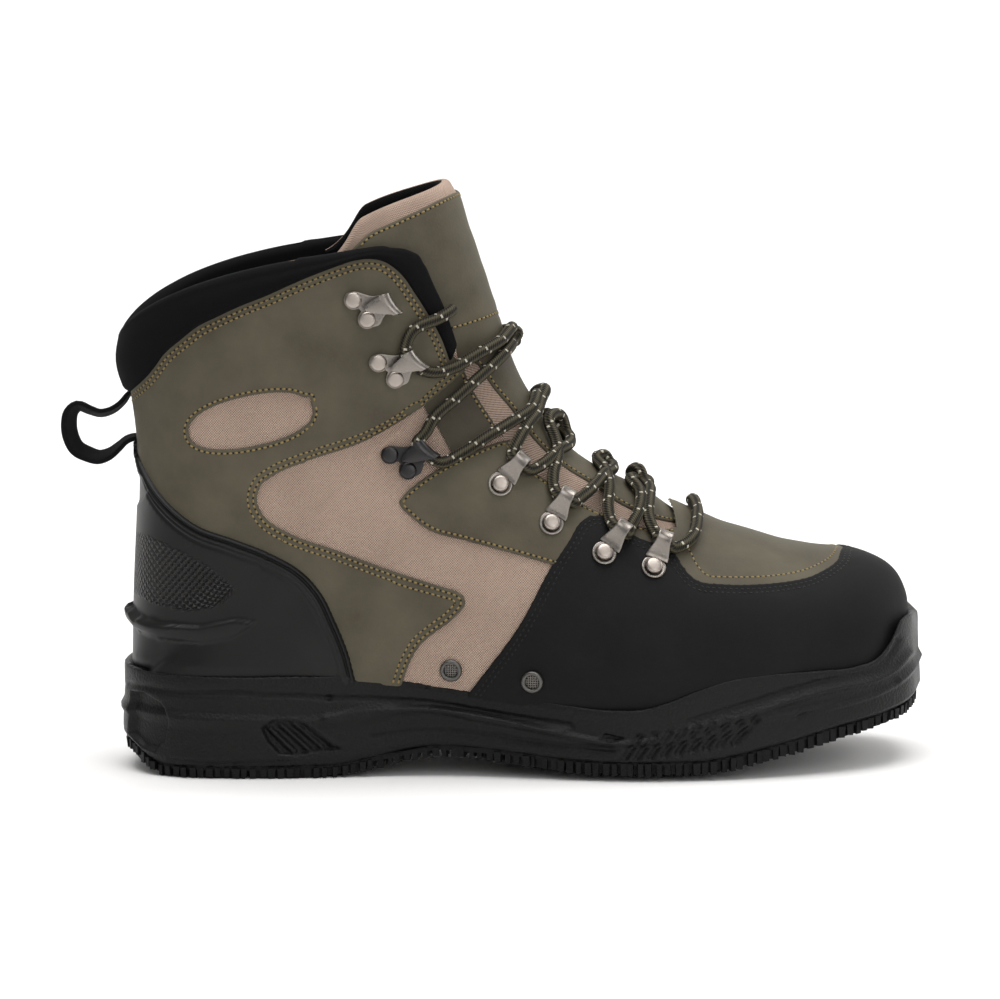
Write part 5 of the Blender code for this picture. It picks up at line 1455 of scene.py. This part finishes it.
def midsolePiece():
    # levels: 0 at the tread, 1 at the ridge, 2 at the rim, each with how far out it stands
    levelKey = np.array([0.0, 0.08, 0.20, 0.50, 0.80, 1.0, 1.18, 1.6, 1.9, 2.0])
    levelOut = np.array([-2.4, -0.9, 0.0, -0.1, -0.3, 0.9, -0.7, -0.9, -0.9, -1.1]) * mm
    amounts = np.linspace(0, 1, 640)
    levels = np.concatenate([np.linspace(0, 0.1, 4), np.linspace(0.14, 1.94, 52),
            np.linspace(1.97, 2.0, 3)])
    halves = []
    body = lastSurface(*np.meshgrid(np.linspace(0, 20, 161), np.linspace(0, 0.6, 90), indexing="ij"), -1)
    for side in (-1, 1):
        x, y = soleSide(amounts, side)
        dx, dy = np.gradient(x, amounts), np.gradient(y, amounts)
        size = np.hypot(dx, dy)
        nx, ny = -side * dy / size, side * dx / size
        nx[[0, -1]], ny[[0, -1]] = (-1, 1), 0
        base = bottomHeight(x) + edgeLift(1.0, x) + sole["tread"] + 1.0 * mm
        ridge, rim = np.maximum(ridgeHeight(x), base + 6 * mm), rimHeight(x)
        level = levels[None, :]
        z = np.where(level <= 1, base[:, None] + (ridge - base)[:, None] * level,
                ridge[:, None] + (rim - ridge)[:, None] * (level - 1))
        out = np.interp(level, levelKey, levelOut) * np.ones((len(amounts), 1))
        lx, ly = soleSide(amounts, -1)
        lateral = np.stack([np.broadcast_to(lx[:, None], z.shape), np.broadcast_to(ly[:, None], z.shape),
                z], -1)
        u, v = photoPixels(lateral)
        fade = soft((rim[:, None] - z) / (3.5 * mm)) * soft((z - base[:, None]) / (1.5 * mm))
        out = out + carving(u, v) * mm * np.clip(fade, 0, 1)
        wall = np.stack([x[:, None] + nx[:, None] * out, y[:, None] + ny[:, None] * out, z], -1)
        # the top runs in to the nearest place of the last, a little lower
        skin = lastSurface(*np.meshgrid(np.linspace(0, 21, 200), np.linspace(0, 1, 140), indexing="ij"),
                side)
        skin = skin.reshape(-1, 3)
        edge = wall[:, -1]
        near = np.abs(skin[:, 2] - np.interp(skin[:, 0], x, rim)) < 1.2 * mm
        _, which = nearness(edge, skin[near])
        target = skin[near][which]
        lip = [edge + (target - edge) * share + np.array([0, 0, drop * mm])
               for share, drop in ((0.04, 0.45), (0.12, 0.75), (0.3, 0.8), (0.6, 0.3), (1.0, -0.8))]
        inwardFloor = np.stack([x - nx * 8 * mm, y - ny * 8 * mm, base], -1)
        ring = np.concatenate([inwardFloor[:, None], wall, np.stack(lip, 1)], 1)
        halves.append(ring)
    for end in (0, -1):
        middle = (halves[0][end] + halves[1][end]) / 2
        halves[0][end], halves[1][end] = middle, middle
    columns = halves[0].shape[1]
    faces = [gridFaces(len(amounts), columns, turn=True),
            gridFaces(len(amounts), columns, len(amounts) * columns)]
    mesh = newMesh("midsole", np.concatenate(halves), faces)
    welded(mesh, 1e-5)
    addPiece("midsoleCup", mesh, materials["midsole"], ["midsole"])


midsolePiece()
print("midsole moulded")

stitchPiece("ochreStitches", "ochre", materials["ochre"])
stitchPiece("blackStitches", "black", materials["black"])
# painted shade in the needle holes, as short black beads
stitchPiece("needleHoleShade", "hole", materials["black"])


# Metal: hooks, eyelet loops, rivets and drain vents, each in its own frame on the last

fasteners = dict(
    hook_top=dict(place=(23.5, 0.54), toward=(23.4, 0.60), under=1.3, kind="hook", turn=20),
    hook_middle=dict(place=(20.8, 0.58), toward=(20.5, 0.64), under=1.3, kind="hook", turn=20),
    hook_low=dict(place=(15.4, 0.53), toward=(15.0, 0.58), under=0.0, kind="hook", turn=14),
    loop_top=dict(place=(12.6, 0.59), toward=(12.1, 0.69), under=1.3, kind="loop"),
    loop_upper=dict(place=(11.0, 0.59), toward=(10.6, 0.70), under=1.3, kind="loop"),
    loop_lower=dict(place=(9.8, 0.59), toward=(9.4, 0.70), under=1.6, kind="loop"),
    loop_low=dict(place=(8.9, 0.60), toward=(8.5, 0.72), under=1.6, kind="loop"),
    vent_rear=dict(place=(12.5, 0.19), toward=(12.5, 0.30), under=0.0, kind="vent"),
    vent_front=dict(place=(11.2, 0.20), toward=(11.2, 0.30), under=1.6, kind="vent"),
)
hookShape = dict(rivetGap=4.7, lobe=3.7, neck=9.2, halfNeck=4.3, arc=3.3, turn=200.0, flap=8.2, plate=1.0,
        lace=(9.8, 3.1), lean=0.42)
loopShape = dict(ring=4.9, half=3.0, lace=(11.0, 2.3),
        path=((3.4, 0.0), (5.0, 0.5), (7.0, 1.9), (9.0, 3.7), (10.8, 5.0), (12.5, 5.1), (13.9, 4.1),
        (14.4, 2.4), (13.9, 0.7), (12.6, -0.3)))
rivetShape = dict(radius=3.3, height=1.5)
ventShape = dict(outer=4.4, inner=2.7, height=1.1)


def fastenerFrame(name, side):
    # origin and axes: ahead towards the throat, over up the shoe, out of the skin
    item = fasteners[name]
    place, toward = item["place"], item["toward"]
    origin, out = lastSurface(*place, side), lastNormal(*place, side)
    ahead = lastSurface(*toward, side) - origin
    ahead = ahead - out * np.dot(ahead, out)
    ahead = ahead / np.linalg.norm(ahead)
    over = -side * np.cross(out, ahead)
    turn = np.radians(item.get("turn", 0))
    ahead, over = np.cos(turn) * ahead + np.sin(turn) * over, np.cos(turn) * over - np.sin(turn) * ahead
    return origin + out * (0.7 + item["under"]) * mm, np.stack([ahead, over, out])


def inFrame(frameOf, places):
    origin, axes = frameOf
    return origin + (np.asarray(places, float) * mm) @ axes


def plateMesh(name, frameOf, sheets, side):
    # sheets of points in mm, put in a fastener's frame
    points, faces, start = [], [], 0
    for sheet in sheets:
        rows, columns = sheet.shape[:2]
        points.append(inFrame(frameOf, sheet.reshape(-1, 3)))
        faces.append(gridFaces(rows, columns, start, turn=side < 0))
        start += rows * columns
    mesh = newMesh(name, np.concatenate(points), faces)
    return welded(mesh, 2e-5)


def hookSheet():
    # plate with two round lobes about the rivets, a neck, a bend and a flap that tapers to a round tip
    shape = hookShape
    across = np.linspace(-1, 1, 25)
    half = shape["rivetGap"] + shape["lobe"] - 0.1
    y0 = across * half
    bow = np.sqrt(np.maximum(1 - ((np.abs(y0) - shape["rivetGap"]) / shape["lobe"]) ** 2, 0.0))
    start = -shape["lobe"] * bow * 0.98
    rows = []
    for s in np.linspace(0, 1, 16):
        x = start * (1 - s) + shape["neck"] * s
        ease = soft((s - 0.25) / 0.6)
        y = y0 * (1 - ease) + across * shape["halfNeck"] * ease
        rows.append(np.stack([x, y, np.zeros(25)], -1))
    for angle in np.radians(np.linspace(0, shape["turn"], 17))[1:]:
        x = shape["neck"] + shape["arc"] * np.sin(angle)
        z = shape["arc"] * (1 - np.cos(angle))
        flare = 0.9 * np.sin(angle / 2) * across**2
        rows.append(np.stack([x + flare, across * (shape["halfNeck"] + 0.5 * np.sin(angle / 2)),
                np.full(25, z)], -1))
    bend = rows[-1]
    turn = np.radians(shape["turn"])
    for s in np.linspace(0, 1, 12)[1:]:
        width = (shape["halfNeck"] + 0.5) * (1 - 0.68 * s) * np.sqrt(max(1 - max(s - 0.7, 0) ** 2 / 0.3**2,
                0.05))
        travel = s * shape["flap"]
        x = bend[0, 0] + np.cos(turn) * travel
        z = bend[0, 2] + np.sin(turn) * travel * 0.45
        rows.append(np.stack([x + 0.9 * (1 - s) * across**2, across * width, z + 0.25 * (1 - across**2)],
                -1))
    sheet = np.stack(rows)
    sheet[..., 1] -= shape["lean"] * np.maximum(sheet[..., 0], 0)
    return sheet


def loopSheets():
    # a disc about the rivet and a strip that rises over the lace and comes down behind it
    shape = loopShape
    angle = np.linspace(0, 2 * np.pi, 41)
    disc = [np.stack([r * np.cos(angle), r * np.sin(angle), np.full(41, z)], -1)
            for r, z in ((0.0, 0.0), (2.6, 0.0), (3.6, 0.0), (4.2, 0.32), (shape["ring"], 0.25))]
    path = smoothLine(shape["path"], 0.5)
    along = np.linspace(0, 1, len(path))
    half = shape["half"] + 1.6 * (1 - soft(along / 0.5))
    across = np.linspace(-1, 1, 9)
    strip = np.stack([np.broadcast_to(path[:, :1], (len(path), 9)), half[:, None] * across[None],
            path[:, 1:] + 0.3 * (across[None] ** 2) * soft(along[:, None] / 0.3)], -1)
    return [np.stack(disc)[::-1], strip]


def capSheet(radius, height):
    # a domed rivet head: a steep side, a round shoulder and a nearly flat crown
    profile = ((radius, 0.0), (radius, 0.35 * height), (0.96 * radius, 0.62 * height),
            (0.84 * radius, 0.86 * height),
            (0.66 * radius, 0.97 * height), (0.40 * radius, height), (0.15 * radius, 1.03 * height),
            (0, 1.04 * height))
    angle = np.linspace(0, 2 * np.pi, 33)
    return np.stack([np.stack([r * np.cos(angle), r * np.sin(angle), np.full(33, z)], -1) for r,
            z in profile])


def thicken(piece, thickness, ease):
    shell = piece.modifiers.new("plate", "SOLIDIFY")
    shell.thickness, shell.offset = thickness, 1
    shell.use_even_offset = False
    edge = piece.modifiers.new("eased", "BEVEL")
    edge.width, edge.segments, edge.limit_method = ease, 2, "ANGLE"
    edge.angle_limit = np.radians(50)


def metalPieces():
    for name, item in fasteners.items():
        for side, word in ((-1, "lateral"), (1, "medial")):
            frameOf = fastenerFrame(name, side)
            node = f"{name}_{word}"
            title = node.replace("_", "")
            if item["kind"] == "vent":
                ring = ventShape
                angle = np.linspace(0, 2 * np.pi, 41)
                profile = ((ring["outer"], -0.4), (ring["outer"], 0.5), (ring["outer"] - 0.5, 1.0),
                        (3.3, 1.15),
                        (ring["inner"] + 0.2, 0.9), (ring["inner"], 0.4), (ring["inner"], -0.6))
                sheet = np.stack([np.stack([r * np.cos(angle), r * np.sin(angle), np.full(41, z)], -1)
                        for r, z in profile])
                mesh = plateMesh(title + "Ring", frameOf, [sheet], side)
                addPiece(title + "Ring", mesh, materials["vent"], [node])
                r = np.linspace(0, ring["inner"] + 0.1, 4)
                web = np.stack([np.stack([k * np.cos(angle), k * np.sin(angle), np.full(41, -0.35)],
                        -1) for k in r])
                mesh = plateMesh(title + "Gauze", frameOf, [web[::-1]], side)
                addPiece(title + "Gauze", mesh, materials["gauze"])
                continue
            dark = name == "hook_low"
            metal = materials["darkSteel" if dark else "steel"]
            sheets = [hookSheet()] if item["kind"] == "hook" else loopSheets()
            mesh = plateMesh(title + "Plate", frameOf, sheets, side)
            piece = addPiece(title + "Plate", mesh, metal, [node])
            thicken(piece, hookShape["plate"] * mm, 0.25 * mm)
            spots = (-hookShape["rivetGap"], hookShape["rivetGap"]) if item["kind"] == "hook" else (0.0,)
            for k, y in enumerate(spots):
                cap = capSheet(rivetShape["radius"], rivetShape["height"]) + np.array([0, y, 0.95])
                mesh = plateMesh(f"{title}Rivet{k + 1}", frameOf, [cap], side)
                rivet = materials["darkSteel" if dark else "rivet"]
                addPiece(f"{title}Rivet{k + 1}", mesh, rivet, [f"rivet_{node}_{k + 1}"])


metalPieces()
print("metal stamped")


# The lace: a round braid through the loops and hooks, crossing over the tongue

lace = dict(diameter=4.7, lift=3.9, over=3.9, rest=3.1)
limbs = dict(
    lowRight=((670, 548), (683, 545), (693, 536), (697, 520), (697, 508), (692, 499)),
    lowLeft=((659, 541), (649, 520), (649, 500), (650, 487), (643, 477)),
    lowerRight=((628, 532), (637, 516), (641, 500), (639, 488), (632, 481)),
    lowerLeft=((612, 524), (608, 508), (610, 488), (604, 467), (597, 457)),
    upperRight=((573, 503), (589, 491), (604, 474), (612, 465), (608, 459)),
    upperLeft=((555, 492), (553, 475), (558, 456), (555, 436), (548, 421)),
    topRight=((527, 471), (540, 466), (556, 452), (570, 438), (566, 431)),
    topLeft=((511, 457), (516, 445), (526, 427), (538, 411), (540, 402)),
    hookLowDown=((438, 463), (460, 454), (488, 436), (516, 419), (533, 406), (536, 396)),
    hookLowUp=((424, 436), (433, 419), (453, 401), (474, 382), (495, 363), (510, 347), (515, 338)),
    hookMidDown=((416, 368), (432, 373), (453, 368), (474, 356), (500, 341), (515, 329)),
    hookMidUp=((406, 345), (411, 332), (421, 325), (436, 320), (447, 314)),
)
laceChart = makeChart(lambda row, step: lastSurface(row, step, -1) + lace["lift"] * mm * lastNormal(row,
        step, -1),
        np.linspace(5, lastRow, 300), np.linspace(0.4, 1, 121))


def limbPoints(name, side):
    # the limb's places a little over the leather, on the outer side or mirrored to the inner one
    at = onSurface(laceChart, limbs[name])
    lift = np.full(len(at), lace["lift"] * mm)
    return lastSurface(at[:, 0], at[:, 1], side) + lift[:, None] * lastNormal(at[:, 0], at[:, 1], side)


def threadPoints(name, side, way):
    # through a loop or hook, from its middle to the side that is up (+1) or down (-1) the shoe
    frameOf = fastenerFrame(name, side)
    x, z = (hookShape if fasteners[name]["kind"] == "hook" else loopShape)["lace"]
    reach, y = (4.6, -hookShape["lean"] * x) if fasteners[name]["kind"] == "hook" else (3.4, 0.0)
    return inFrame(frameOf, [(x, y, z), (x - 0.1, y + 0.5 * reach * way, z), (x - 0.3, y + reach * way, z)])


def ridgePoint(first, second, height):
    row = (onSurface(laceChart, limbs[first][-1:])[0, 0] + onSurface(laceChart,
            limbs[second][-1:])[0, 0]) / 2
    return lastSurface(row, 1.0, 1) + height * mm * lastNormal(row, 1.0, 1)


def crossing(low, lowLimb, high, highLimb, side, height):
    # from the lower fastener on one side over the ridge to the upper one on the other
    start = np.concatenate([threadPoints(low, side, 1), limbPoints(lowLimb, side)])
    end = np.concatenate([threadPoints(high, -side, -1), limbPoints(highLimb, -side)])
    middle = ridgePoint(lowLimb, highLimb, height)[None]
    return np.concatenate([start, middle, end[::-1]])


def tube(path, radius, sides=14):
    # rings square to the path, carried along without twist, with closed ends; the map runs
    # along and around the lace in metres
    count = len(path)
    ahead = np.gradient(path, axis=0)
    ahead /= np.linalg.norm(ahead, axis=1, keepdims=True)
    across = np.zeros_like(path)
    across[0] = np.cross(ahead[0], [0.0, 0.0, 1.0])
    for k in range(1, count):
        across[k] = across[k - 1] - ahead[k] * np.dot(across[k - 1], ahead[k])
        across[k] /= np.linalg.norm(across[k])
    across[0] /= np.linalg.norm(across[0])
    up = np.cross(ahead, across)
    angle = np.linspace(0, 2 * np.pi, sides + 1)
    rings = path[:, None] + radius * (np.cos(angle)[None, :, None] * across[:, None]
            + np.sin(angle)[None, :, None] * up[:, None])
    length = lengthsAlong(path)
    uv = np.stack(np.broadcast_arrays(length[:, None], (angle * radius)[None]), -1)
    rings = np.concatenate([np.broadcast_to(path[:1, None], (1, sides + 1, 3)), rings,
            np.broadcast_to(path[-1:, None], (1, sides + 1, 3))])
    uv = np.concatenate([uv[:1], uv, uv[-1:]])
    return rings, uv


def easedLine(path):
    # a smooth line at even lengths, its kinks eased by averaging with the neighbours
    path = smoothLine(path, 0.9 * mm)
    for _ in range(10):
        path[1:-1] = 0.5 * path[1:-1] + 0.25 * (path[:-2] + path[2:])
    return path


def lacePiece(name, paths, nodes):
    points, faces, maps, start = [], [], [], 0
    for path in paths:
        rings, uv = tube(easedLine(path), lace["diameter"] / 2 * mm)
        points.append(rings.reshape(-1, 3))
        maps.append(uv.reshape(-1, 2))
        faces.append(gridFaces(*rings.shape[:2], start))
        start += rings.shape[0] * rings.shape[1]
    mesh = newMesh(name, np.concatenate(points), faces)
    setUV(mesh, np.concatenate(maps))
    return addPiece(name, mesh, materials["lace"], nodes)


laceRows = (("loop_low", "lowLeft", "loop_lower", "lowerRight"),
        ("loop_lower", "lowerLeft", "loop_upper", "upperRight"),
        ("loop_upper", "upperLeft", "loop_top", "topRight"),
        ("loop_top", "topLeft", "hook_low", "hookLowDown"),
        ("hook_low", "hookLowUp", "hook_middle", "hookMidDown"))
for k, (low, lowLimb, high, highLimb) in enumerate(laceRows):
    paths = [crossing(low, lowLimb, high, highLimb, side, lace["rest"] + (lace["over"] if side < 0 else 0))
            for side in (-1, 1)]
    if k == 0:
        halves = [np.concatenate([threadPoints("loop_low", side, -1),
                limbPoints("lowRight", side)]) for side in (-1, 1)]
        middle = ridgePoint("lowRight", "lowRight", lace["rest"])[None]
        paths.append(np.concatenate([halves[0], middle, halves[1][::-1]]))
    lacePiece(f"laceCrossing{k + 1}", paths, [f"lace_cross_{k + 1}"])

for side, word in ((-1, "lateral"), (1, "medial")):
    at = onSurface(laceChart, [(451.5, 311.5), (455, 309.5)])
    tuck = lifted(at[:, 0], at[:, 1], side, np.array([3.2, 1.8]) * mm)
    path = np.concatenate([threadPoints("hook_middle", side, 1), limbPoints("hookMidUp", side), tuck])
    fine = easedLine(path)
    piece = lacePiece(f"laceEnd_{word}", [path], [f"lace_end_{word}"])
print("lace threaded")


# The pull loop: a webbing strap in the boot's middle plane, with a slight twist

pullLoop = dict(width=11.5, thickness=1.7, twist=24.0,
        path=((138, 386), (131, 391), (121.5, 403), (112, 410), (100, 413), (90, 410), (77.5, 406),
        (71, 412),
        (69, 421.5), (71, 437), (77, 448), (88, 454), (99, 457), (109, 454), (119.5, 446), (127, 439.5),
        (134, 437), (140, 437)))


def onMiddlePlane(pixels):
    # where the camera's rays meet the plane y = 0
    right, up, back, place = cameraAxes(cameraView)
    scale = cameraView["lens"] / sensor * frameWidth
    across, down = np.hsplit((np.asarray(pixels, float) - (frameWidth / 2, frameHeight / 2)) / scale, 2)
    ray = -back + right * across - up * down
    return place - ray * (place[1] / ray[:, 1])[:, None]


def pullLoopPiece():
    line = smoothLine(onMiddlePlane(pullLoop["path"]), 1.2 * mm)
    ahead = np.gradient(line, axis=0)
    ahead /= np.linalg.norm(ahead, axis=1, keepdims=True)
    share = np.linspace(0, 1, len(line))
    turn = np.radians(pullLoop["twist"]) * np.sin(np.pi * share)
    flat = np.cross(ahead, [0.0, 1.0, 0.0])
    wide = np.cos(turn)[:, None] * np.array([0.0, 1.0, 0.0]) + np.sin(turn)[:, None] * flat
    thin = np.cross(ahead, wide)
    w, t = pullLoop["width"] / 2, pullLoop["thickness"] / 2
    ring = [(-w, -0.4 * t), (-w + 0.5, -t), (-w / 2, -t), (0, -t), (w / 2, -t), (w - 0.5, -t),
            (w, -0.4 * t), (w, 0.4 * t),
            (w - 0.5, t), (w / 2, t), (0, t), (-w / 2, t), (-w + 0.5, t), (-w, 0.4 * t), (-w, -0.4 * t)]
    points = np.stack([line + wide * a * mm + thin * b * mm for a, b in ring], 1)
    mesh = newMesh("pullStrap", points, gridFaces(len(line), len(ring)))
    girth = np.concatenate([[0], np.cumsum(np.hypot(*np.diff(np.array(ring), axis=0).T))]) * mm
    setUV(mesh, np.stack(np.meshgrid(np.arange(len(line)) * 1.2 * mm, girth, indexing="ij"), -1).reshape(-1,
            2))
    addPiece("pullStrap", mesh, materials["webbing"], ["pull_loop"])


pullLoopPiece()
print("pull loop sewn")


# Ragged lugs round the tread's edge

lugs = dict(pitch=3.6, seed=7, rows=3)


def lugPiece():
    # small blocks with jittered corners, in rows from the edge inward, on the tread's underside
    random = np.random.default_rng(lugs["seed"])
    corners, faces = [], []
    cube = np.array([(0, 3, 2, 1), (4, 5, 6, 7), (0, 1, 5, 4), (1, 2, 6, 5), (2, 3, 7, 6), (3, 0, 4, 7)])
    for side in (-1, 1):
        amounts = np.linspace(0, 1, 900)
        x, y = soleSide(amounts, side)
        length = np.concatenate([[0], np.cumsum(np.hypot(np.diff(x), np.diff(y)))])
        for row in range(lugs["rows"]):
            for at in np.arange(1.5 * mm, length[-1] - 1.5 * mm, lugs["pitch"] * mm):
                k = np.interp(at + random.uniform(-0.5, 0.5) * mm, length, np.arange(900.0))
                k = int(np.clip(k, 1, 897))
                ahead = np.array([x[k + 1] - x[k - 1], y[k + 1] - y[k - 1]])
                ahead /= np.linalg.norm(ahead)
                inwards = np.array([-ahead[1], ahead[0]]) * (1 if side < 0 else -1)
                start = 1.3 + 3.4 * row + random.uniform(-0.5, 0.5)
                wide, deep = random.uniform(2.0, 3.1) / 2, random.uniform(2.2, 2.9)
                turn = random.uniform(-0.25, 0.25)
                low = bottomHeight(x[k]) + edgeLift(0.9, x[k]) * (1 if row < 2 else 0.6)
                low = max(low + random.uniform(-0.1, 0.7) * mm, 0.1 * mm)
                high = bottomHeight(x[k]) + edgeLift(1.0, x[k]) + (sole["tread"] + 0.9 * mm)
                middle = np.array([x[k], y[k]]) + inwards * (start + deep / 2) * mm
                plan = [(-wide, -deep / 2), (wide, -deep / 2), (wide, deep / 2), (-wide, deep / 2)]
                a = np.cos(turn) * ahead + np.sin(turn) * inwards
                b = np.cos(turn) * inwards - np.sin(turn) * ahead
                block = []
                for level, share in ((low, 0.86), (high, 1.0)):
                    for p, q in plan:
                        spot = middle + (a * p + b * q) * share * mm + random.uniform(-0.18, 0.18, 2) * mm
                        block.append((*spot, level + (random.uniform(0, 0.35) * mm if level == low else 0)))
                faces.append(cube + 8 * len(corners))
                corners.append(block)
    mesh = newMesh("edgeLugs", np.array(corners).reshape(-1, 3), np.concatenate(faces), smooth=False)
    addPiece("edgeLugs", mesh, materials["tread"])


lugPiece()
print("lugs cut")


# The nodes that stay as they are

def paintNode(name, material):
    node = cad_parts[name]
    node.data.materials.clear()
    node.data.materials.append(material)


paintNode("outsole", materials["tread"])
paintNode("insole", materials["lining"])

# The studio: a pale floor that runs up behind, big soft lights and a white surround

studio = dict(floor="#f1f0ef", world="#ffffff", worldStrength=0.40, key=29.0, fill=15.0, rim=9.0, back=60.0)


def studioFloor():
    # a floor of 8 m that bends up into a wall behind: x across, a quarter turn of 1 m radius
    angle = np.linspace(0, np.pi / 2, 24)
    y = np.concatenate([[-4.0], 2.0 + np.sin(angle), [3.0]])
    z = np.concatenate([[0.0], 1.0 - np.cos(angle), [4.0]])
    x = np.array([-5.0, 5.0])
    points = np.stack([np.broadcast_to(x[None], (len(y), 2)), np.broadcast_to(y[:, None], (len(y), 2)),
            np.broadcast_to(z[:, None], (len(y), 2))], -1)
    floor = bpy.data.objects.new("studioFloor", newMesh("studioFloor", points,
            gridFaces(len(y), 2, turn=True)))
    bpy.context.scene.collection.objects.link(floor)
    floor.data.materials.append(newMaterial("paperFloor", studio["floor"], 0.75)[0])


def areaLight(name, place, target, width, power):
    data = bpy.data.lights.new(name, "AREA")
    data.shape = "RECTANGLE"
    data.size, data.size_y = width
    data.energy = power
    lamp = bpy.data.objects.new(name, data)
    lamp.rotation_euler = (Vector(target) - Vector(place)).to_track_quat("-Z", "Y").to_euler()
    lamp.location = place
    bpy.context.scene.collection.objects.link(lamp)


studioFloor()
areaLight("overheadSoftbox", (0.1, -0.2, 1.7), (0.1, 0.0, 0.0), (1.6, 1.2), studio["key"])
areaLight("frontSoftbox", (1.1, -2.1, 1.1), (0.1, 0.0, 0.1), (1.4, 1.4), studio["fill"])
areaLight("sideSoftbox", (1.7, 0.5, 0.8), (0.15, 0.0, 0.1), (0.9, 1.2), studio["rim"])
areaLight("backdropSoftbox", (0.1, 1.0, 2.6), (0.1, 3.0, 1.0), (3.0, 0.6), studio["back"])
bpy.context.scene.view_settings.view_transform = "Standard"
world = bpy.data.worlds.new("whiteRoom")
bpy.context.scene.world = world
world.use_nodes = True
world.node_tree.nodes["Background"].inputs[0].default_value = linear(studio["world"])
world.node_tree.nodes["Background"].inputs[1].default_value = studio["worldStrength"]
print("studio lit")
